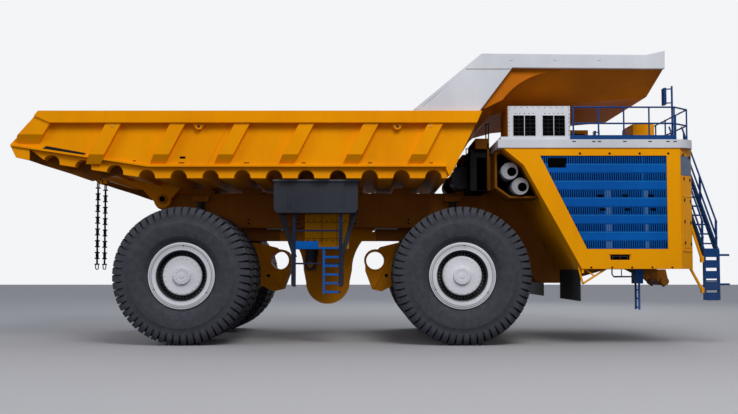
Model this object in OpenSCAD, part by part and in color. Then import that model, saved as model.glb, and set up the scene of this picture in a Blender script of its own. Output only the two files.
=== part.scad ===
// Four-wheel-station rigid mining dump truck, the right side facing -Y and the front facing +X.
// Units are millimetres. The origin is on the ground, under the middle of the truck's box.

/* [Overall] */
// Overall length, from the tail lip to the foremost stair step
overall_l = 20600; // [20500:10:20800]
// Overall width over the deck and the dump body's ribs
overall_w = 9870; // [9800:10:9940]
// Distance between the two axles
wheelbase = 8000; // [7950:10:8050]
// Height of the walking surface of the deck
deck_top = 5830; // [5800:10:5900]

/* [Wheels] */
// Radius of a tyre over its lugs
wheel_r = 1975; // [1950:5:1990]
// Width of one tyre
tyre_w = 1470; // [1430:5:1480]
// Gap between the two tyres of a twin wheel
twin_gap = 260; // [240:5:300]
// Distance from the middle of the truck to a tyre's outer side
wheel_out = 4700; // [4660:5:4720]
// Radius at which the tyres seat on the rim
rim_r = 860; // [820:5:880]
// Radius of the rim flanges
flange_r = 950; // [920:5:980]
// Lugs round each tyre
lug_n = 26; // [20:2:30]
// Height of a lug
lug_h = 110; // [60:5:130]
// Radius of the hub's dished cover
hub_r = 570; // [520:10:620]
// Radius of the spindle that a wheel turns on
spindle_r = 400; // [340:5:420]

/* [Axles] */
// Radius of the round motor housing inside a wheel
motor_r = 735; // [680:5:740]
// Half length of the axle's central box
axle_box_x = 700; // [600:10:760]
// Half width of the axle's central box
axle_box_y = 950; // [900:10:980]
// Top of the axle's central box
axle_top = 3020; // [2980:5:3040]
// Half width of the axle's tongue
tongue_y = 500; // [420:10:520]
// Distance from the axle to the eye near the tip of its tongue
tongue_eye_u = 2460; // [2400:10:2480]
// Radius of the eye through the tongue
tongue_eye_r = 290; // [240:5:300]
// Radius of the vertical pin that the axle steers about
kingpin_r = 300; // [260:5:340]

/* [Frame] */
// Distance from the middle to the outside of a frame rail
rail_out = 1000; // [960:5:1010]
// Thickness of a frame rail
rail_t = 200; // [160:5:240]
// Underside of the frame rails
rail_z0 = 3480; // [3460:5:3520]
// Top of the frame rails
rail_z1 = 4580; // [4500:5:4600]
// Underside of the front sub-frame
low_z0 = 2160; // [2140:10:2180]
// Top of the front sub-frame
low_z1 = 2600; // [2500:10:2700]
// Bottom of the central keel
keel_z0 = 1050; // [1000:10:1200]
// Half width of the keel
keel_y = 350; // [300:10:400]
// Underside of the bolsters over the axles
bolster_z0 = 3090; // [3080:5:3120]
// Top of the bolsters over the axles
bolster_z1 = 3380; // [3340:5:3420]
// Radius of a suspension strut
strut_r = 130; // [100:5:150]

/* [Dump body] */
// Height of the hinge line of the dump body
hinge_z = 4380; // [4350:5:4400]
// Distance of the hinge line behind the middle of the truck
hinge_back = 6600; // [6560:10:6640]
// Radius of the hinge pins
hinge_r = 150; // [120:5:170]
// Top edge of the dump body's sides
bed_top = 6650; // [6600:10:6700]
// Underside of the dump body's floor plate
bed_floor = 5060; // [5040:5:5080]
// Thickness of the floor plate
floor_t = 60; // [40:5:80]
// Underside of the floor beams
beam_z0 = 4755; // [4750:5:4790]
// Distance between floor beams
beam_pitch = 910; // [890:5:930]
// Radius of the round gap between two floor beams
beam_gap_r = 240; // [200:5:260]
// How far the dump body's side walls stand in from the ribs' line
wall_in = 245; // [215:5:275]
// Thickness of the side walls
wall_t = 60; // [40:5:80]
// Distance between the side ribs
rib_pitch = 1830; // [1800:10:1850]
// Width of a side rib
rib_w = 430; // [380:10:460]
// Thickness of the canopy's plates
canopy_t = 90; // [60:5:120]

/* [Hoists] */
// Radius of a hoist's barrel
hoist_r = 190; // [170:5:200]
// Distance from the middle of the truck to a hoist
hoist_y = 1330; // [1300:5:1360]

/* [Superstructure] */
// How far the side panels stand in from the deck's edge
side_in = 35; // [25:5:55]
// Thickness of the side panels
panel_t = 60; // [40:5:80]
// Lower edge of the side panels
panel_z0 = 2170; // [2150:10:2200]
// Depth of the deck's edge
deck_h = 240; // [200:10:260]
// Height of the handrails over the deck
rail_h = 930; // [900:10:1000]
// Radius of a handrail tube
tube_r = 28; // [20:1:35]
// Height of the slotted cabinet over the deck
cabinet_h = 1000; // [960:10:1020]
// Top of the operator's cab
cab_top = 7150; // [7100:10:7160]
// Thickness of the cab's walls and door
cab_t = 80; // [60:5:90]

/* [Chains] */
// Links in each tail chain
link_n = 14; // [12:1:15]
// Distance between links
link_pitch = 190; // [180:5:195]

/* [Hidden] */
$fn = 64;

fit = 0.05;      // running fit of a pin in its bore
seat = 0.3;      // room where curved faces meet
gap = 8;         // room between faces that move past each other
half_l = overall_l / 2;
half_w = overall_w / 2;
wall_out = half_w - wall_in;    // outside of the dump body's side walls
side_out = half_w - side_in;    // outside of the side panels
mid_x = -1400;   // middle of the wheelbase
front_x = mid_x + wheelbase / 2;
rear_x = mid_x - wheelbase / 2;
wheel_in = wheel_out - 2 * tyre_w - twin_gap;
bead_y = tyre_w / 2 - 220;      // half width of a tyre at its beads
outer_mid = wheel_out - tyre_w / 2;
inner_mid = wheel_in + tyre_w / 2;
rail_in = rail_out - rail_t;
hinge_x = -hinge_back;
deck_bottom = deck_top - deck_h;
deck_x0 = front_x + 990;
nose_x = half_l - 1100;     // front face of the superstructure
cut = 20;           // how far a cutter runs past the face that it cuts

// Colours
orange = "#dc8c0a";
yellow = "#f0a50a";
blue = "#0a5ab4";
navy = "#143c6e";
white = "#e6e6ea";
tyre_grey = "#46464d";
rim_grey = "#b4b4ba";
dark = "#303238";

// Shapes shared by the pieces

// A box between two corners
module span(lo, hi) { translate(lo) cube(hi - lo); }

// A shape drawn in X and Z, from y0 to y1
module plate_y(y0, y1) { translate([0, y1, 0]) rotate([90, 0, 0]) linear_extrude(y1 - y0) children(); }

// A shape drawn in Y and Z, from x0 to x1
module plate_x(x0, x1) { translate([x0, 0, 0]) rotate([90, 0, 90]) linear_extrude(x1 - x0) children(); }

// A round bar along Y
module bar_y(x, z, r, y0, y1) { translate([x, y1, z]) rotate([90, 0, 0]) cylinder(h = y1 - y0, r = r); }

// A round bar along X
module bar_x(y, z, r, x0, x1) { translate([x0, y, z]) rotate([0, 90, 0]) cylinder(h = x1 - x0, r = r); }

// A round bar between two points
module bar(a, b, r) {
    d = b - a;
    translate(a) rotate([0, acos(d.z / norm(d)), atan2(d.y, d.x)]) cylinder(h = norm(d), r = r);
}

// The children and their mirror image on the other side of the truck
module pair() {
    children();
    mirror([0, 1, 0]) children();
}

// The left side is as drawn, the right side is mirrored
module on_side(side) { if (side > 0) children(); else mirror([0, 1, 0]) children(); }

// A revolved shape about Y at a wheel's centre, drawn as radius and Y
module spin(x) { translate([x, 0, wheel_r]) rotate([-90, 0, 0]) rotate_extrude($fn = 96) children(); }

// Wheels

// Outline of a tyre's tread with its lugs, one lug lying flat on the ground
module tread_outline() {
    pitch = 360 / lug_n;
    tip = 0.27 * pitch;
    root = 0.36 * pitch;
    tip_r = wheel_r / cos(tip);
    root_r = wheel_r - lug_h;
    polygon([for (i = [0:lug_n - 1]) let (a = -90 + i * pitch)
        each [[root_r * cos(a - root), root_r * sin(a - root)], [tip_r * cos(a - tip), tip_r * sin(a - tip)],
            [tip_r * cos(a + tip), tip_r * sin(a + tip)], [root_r * cos(a + root), root_r * sin(a + root)]]]);
}

module tyre(x, y) {
    half = tyre_w / 2;
    crown = wheel_r - lug_h - 30;
    translate([0, y, 0]) {
        spin(x) polygon([[rim_r, -bead_y], [flange_r + 10, -bead_y], [flange_r + 110, -half + 90], [flange_r + 330, -half],
            [crown - 130, -half + 30], [crown, -half + 120], [crown, half - 120], [crown - 130, half - 30],
            [flange_r + 330, half], [flange_r + 110, half - 90], [flange_r + 10, bead_y], [rim_r, bead_y]]);
        plate_y(-half + 60, half - 60) difference() {
            translate([x, wheel_r]) tread_outline();
            translate([x, wheel_r]) circle(r = crown - 200, $fn = 96);
        }
    }
}

module tyres(x, side) {
    color(tyre_grey) on_side(side) {
        tyre(x, outer_mid);
        tyre(x, inner_mid);
    }
}

module rim(x, side) {
    out_y = outer_mid + bead_y + seat;      // outer bead
    in_y = inner_mid - bead_y - seat;       // inner bead
    r = rim_r - seat;
    barrel_r = rim_r - 80;
    web_y = outer_mid + 80;
    color(rim_grey) on_side(side) spin(x) polygon([
        [spindle_r + fit, motor_end + 20], [spindle_r + fit, spindle_end + 5], [0, spindle_end + 5],
        [0, out_y + 20], [240, out_y + 20], [260, out_y - 60], [hub_r - 30, out_y - 60], [hub_r, out_y - 110],
        [hub_r, web_y + 90], [700, web_y + 90], [700, out_y + 40], [flange_r - 60, out_y + 80],
        [flange_r, out_y + 60], [flange_r, out_y], [r, out_y],
        [r, in_y], [flange_r, in_y], [flange_r, in_y - 80], [barrel_r, in_y - 80],
        [barrel_r, web_y - 80], [hub_r, web_y - 80], [hub_r, motor_end + 20]]);
}

motor_end = wheel_in + 1800;
spindle_end = motor_end + 700;

// Axles

// Side outline of the tongue, as distance towards the middle of the truck and height
module tongue_outline() {
    eye_z = 2450;
    difference() {
        union() {
            polygon([[0, 1250], [1300, 1250], [1870, 1650], [2260, 1450], [2560, 1520], [2780, 2100],
                [tongue_eye_u + 330, eye_z], [2300, 2880], [1740, axle_top], [0, axle_top]]);
            translate([tongue_eye_u, eye_z]) circle(r = tongue_eye_r + 70);
        }
        translate([tongue_eye_u, eye_z]) circle(r = tongue_eye_r);
    }
}

// An axle at the origin, its tongue pointing to +X
module axle_shape() {
    plate_y(-tongue_y, tongue_y) tongue_outline();
    span([-axle_box_x, -axle_box_y, 1200], [axle_box_x, axle_box_y, axle_top]);
    translate([0, 0, axle_top - 100]) cylinder(h = bolster_z0 - gap - axle_top + 100, r = 640);
    translate([0, 0, axle_top - 100]) cylinder(h = bolster_z1 - axle_top + 100, r = kingpin_r);
    pair() {
        bar_y(0, wheel_r, motor_r, axle_box_y - 60, motor_end);
        bar_y(0, wheel_r, spindle_r, motor_end - 60, spindle_end);
    }
}

module front_axle() { color(orange) translate([front_x, 0, 0]) mirror([1, 0, 0]) axle_shape(); }
module rear_axle() { color(orange) translate([rear_x, 0, 0]) axle_shape(); }

// Frame

keel_top_x = 1560;      // half length of the keel's top

tier_z1 = 5010;          // top of the rails where they carry the deck
strut_top = 4300;        // underside of the brackets over the struts

// Side outline of a rail: level over the axles, then down to the sub-frame at the front
module rail_outline() {
    tier = [front_x + 250, front_x + 2550];     // the raised part over the front axle
    polygon([[hinge_x, rail_z0 + 560], [hinge_x + 500, rail_z0], [front_x + 1300, rail_z0],
        [front_x + 2750, low_z0 - 430], [front_x + 3400, low_z0 - 430], [front_x + 4900, low_z0],
        [nose_x - 100, low_z0], [nose_x - 100, low_z1], [front_x + 3350, low_z1], [tier[1], 4000],
        [tier[1], tier_z1], [tier[0], tier_z1], [tier[0] - 100, rail_z1], [hinge_x, rail_z1]]);
    translate([hinge_x, hinge_z]) circle(r = 330);
}

module frame() {
    beam_xs = [hinge_x + 700, rear_x + 1100, mid_x - 1600, mid_x, mid_x + 1600, front_x - 1100, front_x + 1100];
    color(orange) {
        pair() {
            plate_y(rail_in, rail_out) rail_outline();
            // Pads that carry the body
            for (x = [-5400:1600:1600]) span([x - 300, rail_in, rail_z1 - cut], [x + 300, rail_out, beam_z0 - gap]);
            // Brackets over the suspension struts
            for (x = [front_x, rear_x])
                span([x - 260, rail_out - cut, strut_top], [x + 260, 1280, strut_top + 180]);
            // Posts under the deck
            for (post = [[front_x + 1900, tier_z1], [nose_x - 400, low_z1]])
                span([post.x - 130, rail_in, post.y - cut], [post.x + 130, rail_out, deck_bottom]);
            // Tow hitch under the nose, with its strut
            plate_y(650, 790) polygon([[nose_x - 900, low_z0 + 100], [nose_x - 100, low_z0 + 100],
                [nose_x - 100, low_z0], [nose_x + 240, low_z0],
                [nose_x + 330, low_z0 - 420], [nose_x + 180, low_z0 - 560], [nose_x - 60, low_z0 - 330]]);
            // Pins of the dump body's hinge
            bar_y(hinge_x, hinge_z, hinge_r, rail_in + 50, 1340);
            // Lugs that carry the hoists
            span([hoist_x0 - 200, rail_out - cut, hoist_z0 - 200], [hoist_x0 + 200, hoist_in, rail_z0 + 200]);
            bar_y(hoist_x0, hoist_z0, hoist_pin_r, rail_out - cut, hoist_y + hoist_r);
        }
        // Cross members between the rails
        for (x = beam_xs) span([x - 150, -rail_in - cut, rail_z0 + 150], [x + 150, rail_in + cut, rail_z1 - 150]);
        for (x = [front_x + 3700, nose_x - 1900, nose_x - 350])
            span([x - 120, -rail_in - cut, low_z0 + 60], [x + 120, rail_in + cut, low_z1 - 60]);
        bar_y(nose_x + 180, low_z0 - 380, 130, -900, 900);
    }
}

// Half of the keel's side outline, towards the front: a curved gusset under the rails, then a round foot
module keel_half() {
    foot_r = 700;
    curve_r = 1553;
    curve = [2332, 2132];       // centre of the gusset's curve
    difference() {
        translate([0, curve.y]) square([keel_top_x, rail_z0 - curve.y]);
        translate(curve) circle(r = curve_r);
    }
    translate([0, bolster_z0]) square([keel_top_x, bolster_z1 - bolster_z0]);
    polygon([[0, keel_z0 + foot_r], [foot_r, keel_z0 + foot_r], [curve.x - curve_r, curve.y + cut], [0, curve.y + cut]]);
    translate([0, keel_z0 + foot_r]) circle(r = foot_r);
}

module keel() {
    color(orange) plate_y(-keel_y, keel_y) for (s = [-1, 1]) translate([mid_x, 0]) scale([s, 1]) keel_half();
}

module bolsters() {
    color(orange) for (x = [front_x, rear_x]) {
        to_mid = x > mid_x ? -1 : 1;
        arm = wheelbase / 2 - keel_top_x;
        translate([x, 0, 0]) scale([to_mid, 1, 1]) difference() {
            union() {
                span([0, -keel_y, bolster_z0], [arm, keel_y, bolster_z1]);
                span([-1000, -1080, bolster_z0], [1000, 1080, bolster_z1]);
                span([-350, -1280, bolster_z0], [350, 1280, bolster_z1]);
            }
            translate([0, 0, bolster_z0 - cut]) cylinder(h = 500, r = kingpin_r + fit);
        }
    }
}

module struts() {
    color(dark) for (x = [front_x, rear_x]) pair() {
        translate([x, 1140, bolster_z1]) cylinder(h = strut_top - bolster_z1, r = strut_r - 30);
        translate([x, 1140, bolster_z1 + 250]) cylinder(h = 400, r = strut_r);
    }
}

// Tanks and steps on the flanks

tank_in = 3500;
tank_out = 4350;
tank_x0 = mid_x - 1400;
tank_x1 = mid_x + 1020;
tank_z0 = 3780;
tank_z1 = 4730;
bracket_z = 3900;        // underside of the tanks' brackets

module tanks() {
    round_r = 150;
    color(dark) pair() {
        // Body with its two lower edges rounded
        plate_y(tank_in, tank_out) {
            translate([tank_x0, tank_z0 + round_r]) square([tank_x1 - tank_x0, tank_z1 - tank_z0 - round_r - 40]);
            translate([tank_x0 + round_r, tank_z0]) square([tank_x1 - tank_x0 - 2 * round_r, 2 * round_r]);
            for (x = [tank_x0 + round_r, tank_x1 - round_r]) translate([x, tank_z0 + round_r]) circle(r = round_r);
        }
        span([tank_x0 - 30, tank_in - 30, tank_z1 - 60], [tank_x1 + 30, tank_out + 30, tank_z1]);
        for (x = [tank_x0 + 80, tank_x1 - 400]) span([x - 80, rail_out, bracket_z], [x + 80, tank_in + cut, 4200]);
        // Slanting brackets that brace the steps' posts
        for (end = [[tank_x0 + 120, step_x0 - 20], [tank_x1 - 120, step_x1 + 20]])
            plate_y(tank_in + 30, tank_in + 180) polygon([[end[0] - 60, tank_z0 + 100], [end[0] + 120, tank_z0 + 100],
                [end[1] + 60, 2520], [end[1] - 60, 2520]]);
        // Hydraulic tank between the steps and the rails, on its own bracket
        span([step_x0 + 240, tank_in - 1400, 2780], [step_x1 + 200, tank_in - 500, bracket_z]);
        span([step_x1 - 60, rail_out, bracket_z - 200], [step_x1 + 100, tank_in - 1400 + cut, bracket_z]);
    }
}

step_x0 = mid_x - 820;
step_x1 = mid_x + 520;
step_y = tank_out - 250;     // inner side of the steps' posts

module side_steps() {
    rung_x = step_x1 - 480;
    color(navy) pair() {
        for (x = [step_x0, step_x1]) span([x - 50, step_y, 1660], [x + 50, step_y + 130, tank_z0]);
        // Platform, cross bars and a short ladder
        span([step_x0 + 40, step_y - 400, 2740], [step_x1 - 40, step_y + 120, 2800]);
        span([step_x0 + 40, step_y + 60, 2800], [step_x0 + 700, step_y + 120, 2970]);
        for (z = [2300, 3250]) span([step_x0, step_y + 20, z], [step_x1, step_y + 80, z + 50]);
        span([rung_x - 30, step_y + 20, 1450], [rung_x + 30, step_y + 110, 2760]);
        for (z = [1480:250:2700]) span([rung_x, step_y + 20, z], [step_x1, step_y + 110, z + 60]);
    }
}

// Superstructure

corner_x = nose_x - 460;        // where a side panel turns towards the front
corner_y = side_out - 500;        // where the front face meets the slanted corner

// The slanted rear edge of a side panel, as X at a height
function slope_x(z) = front_x + 3330 + (panel_z0 - z) * 1610 / 2930;
slope_top = deck_x0 + 140;       // where its slanted edge meets the deck

module side_outline() {
    polygon([[slope_x(panel_z0), panel_z0], [corner_x, panel_z0], [corner_x, deck_bottom], [slope_top, deck_bottom],
        [slope_x(5100), 5100]]);
}

grille_z0 = panel_z0 + 560;
grille_z1 = deck_bottom - 220;
grille_x1 = corner_x - 380;

module grille_outline() {
    polygon([[slope_x(grille_z1) + 610, grille_z1], [grille_x1, grille_z1], [grille_x1, grille_z0],
        [slope_x(grille_z0) + 460, grille_z0]]);
}

module side_panels() {
    handle_x = slope_x(panel_z0) + 770;
    color(yellow) pair() {
        difference() {
            plate_y(side_out - panel_t, side_out) side_outline();
            plate_y(side_out - panel_t - cut, side_out + cut) grille_outline();
            // Recessed pull handle in the lower edge
            span([handle_x, side_out - panel_t / 2, 2410], [handle_x + 620, side_out + cut, 2580]);
        }
        // Slanted wall behind the front tyres, with a lip that the mudflap hangs on
        plate_y(rail_out + 50, side_out - panel_t / 2) polygon([[slope_x(panel_z0), panel_z0 - 120],
            [slope_x(panel_z0), panel_z0], [slope_x(5100), 5100], [slope_top, deck_bottom], [slope_top + panel_t, deck_bottom],
            [slope_x(5100) + panel_t, 5120], [slope_x(panel_z0) + panel_t, panel_z0],
            [slope_x(panel_z0) + panel_t, panel_z0 - 120]]);
        // Slanted corner towards the front
        translate([0, 0, panel_z0]) linear_extrude(deck_bottom - panel_z0) corner_plan();
    }
}

// Plan of the slanted corner panel
module corner_plan() {
    polygon([[corner_x, side_out], [nose_x, corner_y], [nose_x - panel_t, corner_y], [corner_x, side_out - panel_t]]);
}

// Walkways between the sub-frame and the side panels
module bay_floor() {
    inner = side_out - panel_t;
    color(orange) pair() translate([0, 0, panel_z0]) linear_extrude(40) polygon([
        [slope_x(panel_z0) + panel_t, rail_out], [nose_x - panel_t, rail_out], [nose_x - panel_t, corner_y],
        [corner_x, inner], [slope_x(panel_z0) + panel_t, inner]]);
}

grille_bands = 11;      // slotted and plain bands in turn, from the bottom
slot_pitch = 180;

module side_grilles() {
    band = (grille_z1 - grille_z0) / grille_bands;
    x0 = slope_x(grille_z1) + 610;
    color(blue) pair() difference() {
        plate_y(side_out - panel_t + 5, side_out - 5) grille_outline();
        for (i = [0:grille_bands - 1]) let (z0 = grille_z0 + i * band) if (i % 2 == 0) {
            span([x0, side_out - 25, z0], [grille_x1 + cut, side_out, z0 + band]);
            for (x = [grille_x1 - slot_pitch:-slot_pitch:slope_x(z0) + 600])
                span([x, side_out - 40, z0 + 30], [x + slot_pitch / 2, side_out, z0 + band - 30]);
        }
    }
}

front_open_y = corner_y - 1800;     // half width of the front opening
front_open = [2600, 5300];          // its lower and upper edge

module front_panel() {
    color(yellow) {
        difference() {
            span([nose_x - panel_t, -corner_y, panel_z0], [nose_x, corner_y, deck_bottom]);
            span([nose_x - panel_t - cut, -front_open_y, front_open[0]],
                [nose_x + cut, front_open_y, front_open[1]]);
        }
        // Strut that holds the foot of the stair
        translate([0, -stair_y + 75, 0]) {
            bar([nose_x - cut, 0, 3620], [stair_x0 - 70, 0, 2450], 40);
            span([stair_x0 - 110, -60, 2360], [stair_x0 - 25 - seat, 60, 2540]);
        }
    }
}

module front_grille() {
    bar_n = 18;
    step = (front_open[1] - front_open[0]) / bar_n;
    color(blue) {
        for (i = [0:bar_n - 1]) let (z = front_open[0] + i * step)
            span([nose_x - panel_t, -front_open_y, z], [nose_x - 10, front_open_y, z + 0.4 * step]);
        for (i = [0:4]) let (y = -front_open_y + i * (2 * front_open_y - 100) / 4)
            span([nose_x - panel_t, y, front_open[0]], [nose_x - 20, y + 100, front_open[1]]);
    }
}

module deck() {
    radius = 500;
    color(white) difference() {
        translate([0, 0, deck_bottom]) linear_extrude(deck_h) union() {
            translate([deck_x0, -half_w]) square([nose_x - radius - deck_x0, overall_w]);
            translate([deck_x0, -half_w + radius]) square([nose_x - deck_x0, overall_w - 2 * radius]);
            for (s = [-1, 1]) translate([nose_x - radius, s * (half_w - radius)]) circle(r = radius);
        }
        span([cab_x0, cab_y0, deck_bottom - cut], [cab_x1, cab_y1, deck_top + cut]);
    }
}

// Engine blocks, and the dark boxes and round ducts on the bay's rear wall
module engines() {
    color(dark) pair() {
        span([front_x + 3350, 150, low_z1], [nose_x - 700, 1350, 4700]);
        span([deck_x0 - 430, rail_out + 60, 4500], [deck_x0 - wall_back - seat, side_out - 1700, 5500]);
        bar_y(deck_x0 - 760, 4980, 350, rail_out + seat, 2100);
    }
}

wall_back = 130;        // how far the bay's rear wall stands behind the deck's edge
duct_y0 = side_out - 1600;
duct_y1 = side_out - 500;

module duct_housings() {
    x0 = deck_x0 - 30;
    color(orange) pair() {
        difference() {
            plate_y(duct_y0, duct_y1) polygon([[x0, 5500], [x0, 4500], [x0 + 420, 4200], [slope_x(4200) - seat, 4200],
                [slope_x(5100) - seat, 5100], [slope_top - seat, deck_bottom], [x0 + 90, deck_bottom]]);
            plate_y(duct_y0 + 100, duct_y1 + cut) polygon([[x0 + 60, 5440], [x0 + 60, 4530], [x0 + 440, 4260],
                [slope_x(4260) - 60, 4260], [slope_x(5080) - 60, 5080], [slope_top, 5500]]);
        }
        // Rear wall of the engine bay, between the housing and the rail
        span([deck_x0 - wall_back, rail_out + 60, 4500], [deck_x0 - wall_back + 60, duct_y0 + 60, deck_top + 80]);
        span([deck_x0 - wall_back, duct_y0, 4500], [x0 + cut, duct_y0 + 60, 5500]);
    }
}

module air_ducts() {
    color(rim_grey) pair() for (c = [[deck_x0 + 380, 4970], [deck_x0 + 680, 4530]]) difference() {
        bar_y(c.x, c.y, 240, duct_y0 + 100, duct_y1 + 100);
        bar_y(c.x + 60, c.y - 20, 130, duct_y1 - 400, duct_y1 + 100 + cut);
    }
}

module cabinet() {
    x0 = deck_x0 + 330;
    x1 = x0 + 1780;
    y0 = side_out - 1900;
    y1 = side_out - 300;
    top = deck_top + cabinet_h;
    color(white) mirror([0, 1, 0]) {
        span([x0 - 220, y0 - 100, deck_top], [x1 + 130, y1 + 60, deck_top + 110]);
        difference() {
            span([x0, y0, deck_top + 110], [x1, y1, top]);
            for (x = [x0 + 190, x0 + 1060]) span([x, y1 - 60, deck_top + 200], [x + 560, y1 + cut, top - 230]);
        }
    }
}

// Cab

cab_x0 = nose_x - 3300;
cab_x1 = nose_x - 1400;
cab_y1 = side_out - 200;
cab_y0 = cab_y1 - 1700;
cab_z0 = 5350;
win_z0 = deck_top + 350;
win_z1 = cab_top - 160;
door_x0 = cab_x0 + 250;
door_x1 = cab_x0 + 1050;
door_z0 = deck_top + 40;
door_z1 = cab_top - 90;

// Window cuts of the cab: low corner and high corner
function cab_windows() = [
    [[cab_x1 - cab_t, cab_y0 + 150, win_z0 - 100], [cab_x1, cab_y1 - 150, win_z1]],
    [[cab_x0, cab_y0 + 250, win_z0], [cab_x0 + cab_t, cab_y1 - 250, win_z1]],
    [[cab_x0 + 180, cab_y1 - cab_t, win_z0], [cab_x0 + 900, cab_y1, win_z1]],
    [[cab_x0 + 1020, cab_y1 - cab_t, win_z0], [cab_x1 - 180, cab_y1, win_z1]],
    [[door_x1 + 120, cab_y0, win_z0], [cab_x1 - 150, cab_y0 + cab_t, win_z1]]];

knuckle_r = 18;          // hinge barrels of the door, round a pin on the cab's inner face
knuckle_h = 90;
pin_r = 9;
pin_y = cab_y0 - 25;

// The children at each of the door's two hinges
module at_hinges() {
    for (z = [door_z0 + 120, door_z1 - 210]) translate([door_x0, pin_y, z]) children();
}

// A hinge barrel with a leaf towards x on the cab's face
module knuckle(z, x) {
    translate([0, 0, z]) cylinder(h = knuckle_h, r = knuckle_r);
    translate([min(x, sign(x) * 10), -5, z]) cube([abs(x) - 10, cab_y0 - pin_y + 5, knuckle_h]);
}

module cab_shell() {
    in = [cab_t, cab_t, cab_t];
    color(yellow) {
        difference() {
            span([cab_x0, cab_y0, cab_z0], [cab_x1, cab_y1, cab_top]);
            span([cab_x0, cab_y0, cab_z0] + in, [cab_x1, cab_y1, cab_top] - in);
            for (w = cab_windows()) span(w[0] - [cut, cut, 0], w[1] + [cut, cut, 0]);
            span([door_x0, cab_y0 - cut, door_z0], [door_x1, cab_y0 + cab_t + cut, door_z1]);
        }
        at_hinges() {
            knuckle(-knuckle_h, -120);
            cylinder(h = knuckle_h, r = pin_r);
        }
    }
}

module cab_glass() {
    color("#6080a0", 0.4) for (w = cab_windows()) {
        thin = w[1].x - w[0].x < w[1].y - w[0].y ? [cab_t / 2 - 10, 0, 0] : [0, cab_t / 2 - 10, 0];
        span(w[0] + thin, w[1] - thin);
    }
}

module cab_seat() {
    seat_x = cab_x0 + 550;       // back of the seat
    seat_y = cab_y0 + 430;
    floor_z = cab_z0 + cab_t;
    color(dark) {
        span([seat_x + 250, seat_y + 120, floor_z], [seat_x + 550, seat_y + 420, 5850]);
        span([seat_x + 100, seat_y, 5850], [seat_x + 680, seat_y + 540, 6000]);
        span([seat_x, seat_y, 5950], [seat_x + 150, seat_y + 540, 6650]);
        span([cab_x1 - 300, cab_y0 + 300, floor_z], [cab_x1 - cab_t, cab_y0 + 1100, 6050]);
    }
}

module cab_door() {
    color(yellow) difference() {
        union() {
            span([door_x0 + gap, cab_y0, door_z0 + gap], [door_x1 - gap, cab_y0 + cab_t - 20, door_z1 - gap]);
            at_hinges() knuckle(seat, 120);
        }
        span([door_x0 + 140, cab_y0 - cut, win_z0], [door_x1 - 140, cab_y0 + cab_t, door_z1 - 140]);
        at_hinges() translate([0, 0, -cut]) cylinder(h = knuckle_h + 2 * cut, r = pin_r + seat);
    }
    color(blue) span([door_x1 - 110, cab_y0 - 60, 6050], [door_x1 - 70, cab_y0, 6350]);
}

// Deck fittings

rail_line = half_w - 90;
rail_front = nose_x - 90;

post_r = tube_r + 4;      // half the width of a square post

// Two rails from a to b through square posts, which hold the rails' ends
module rail_run(a, b, bays) {
    for (h = [rail_h, rail_h / 2]) bar(a + [0, 0, h], b + [0, 0, h], tube_r);
    for (i = [0:bays]) translate(a + (b - a) * i / bays - [post_r, post_r, 0])
        cube([2 * post_r, 2 * post_r, rail_h + post_r]);
}

module handrails() {
    z = deck_top;
    corner = 500;       // how far the rail cuts the deck's corner
    side_end = rail_front - corner;
    color(navy) {
        rail_run([deck_x0 + 2150, -rail_line, z], [side_end, -rail_line, z], 4);
        rail_run([rail_front, -rail_line + corner, z], [rail_front, rail_line - corner, z], 8);
        rail_run([cab_x1 + 150, rail_line, z], [side_end, rail_line, z], 1);
        pair() for (h = [rail_h, rail_h / 2]) bar([side_end, rail_line, z + h],
            [rail_front, rail_line - corner, z + h], tube_r);
        // Toe board
        span([deck_x0 + 2060, -rail_line - 30, z], [side_end + 50, -rail_line + 30, z + 130]);
    }
}

module intake_box() {
    round_r = 120;
    color(yellow) plate_y(-side_out + 3300, -side_out + 4700) {
        translate([nose_x - 950, deck_top]) square([670, 950 - round_r]);
        translate([nose_x - 950 + round_r, deck_top]) square([670 - 2 * round_r, 950]);
        for (x = [round_r, 670 - round_r]) translate([nose_x - 950 + x, deck_top + 950 - round_r]) circle(r = round_r);
    }
}

module mirrors() {
    x = nose_x - 620;
    color(navy) pair() {
        bar([x, rail_line - 90, deck_top], [x, rail_line - 90, 7380], tube_r);
        for (z = [6900, 7300]) bar([x, rail_line - 90, z], [x - 180, rail_line - 150, z], 18);
        span([x - 230, rail_line - 330, 6850], [x - 160, rail_line - 60, 7330]);
    }
}

module lamps() {
    color("#e0e0d0") pair() for (y = [side_out - 1900, side_out - 1400])
        bar_x(y, 2420, 140, nose_x, nose_x + 60);
}

flap_t = 30;

module mudflaps() {
    color("#202024") pair() {
        span([slope_x(panel_z0) - flap_t, inner_mid - tyre_w / 2 + 100, 1260],
            [slope_x(panel_z0), wheel_out, panel_z0 - 20]);
        for (x = [step_x0 - 50 - flap_t, step_x1 + 50]) span([x, step_y - 400, 1700], [x + flap_t, step_y + 120, 2900]);
    }
}

stair_x0 = nose_x + 400;
stair_w = 400;           // from stringer to stringer
stair_y = side_out - 650;   // foot of the stair, on the right side
stair_z0 = 1280;         // lowest step
stair_z1 = 2620;         // where the upright steps end and the slanting flight starts
tread_n = 11;

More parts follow.
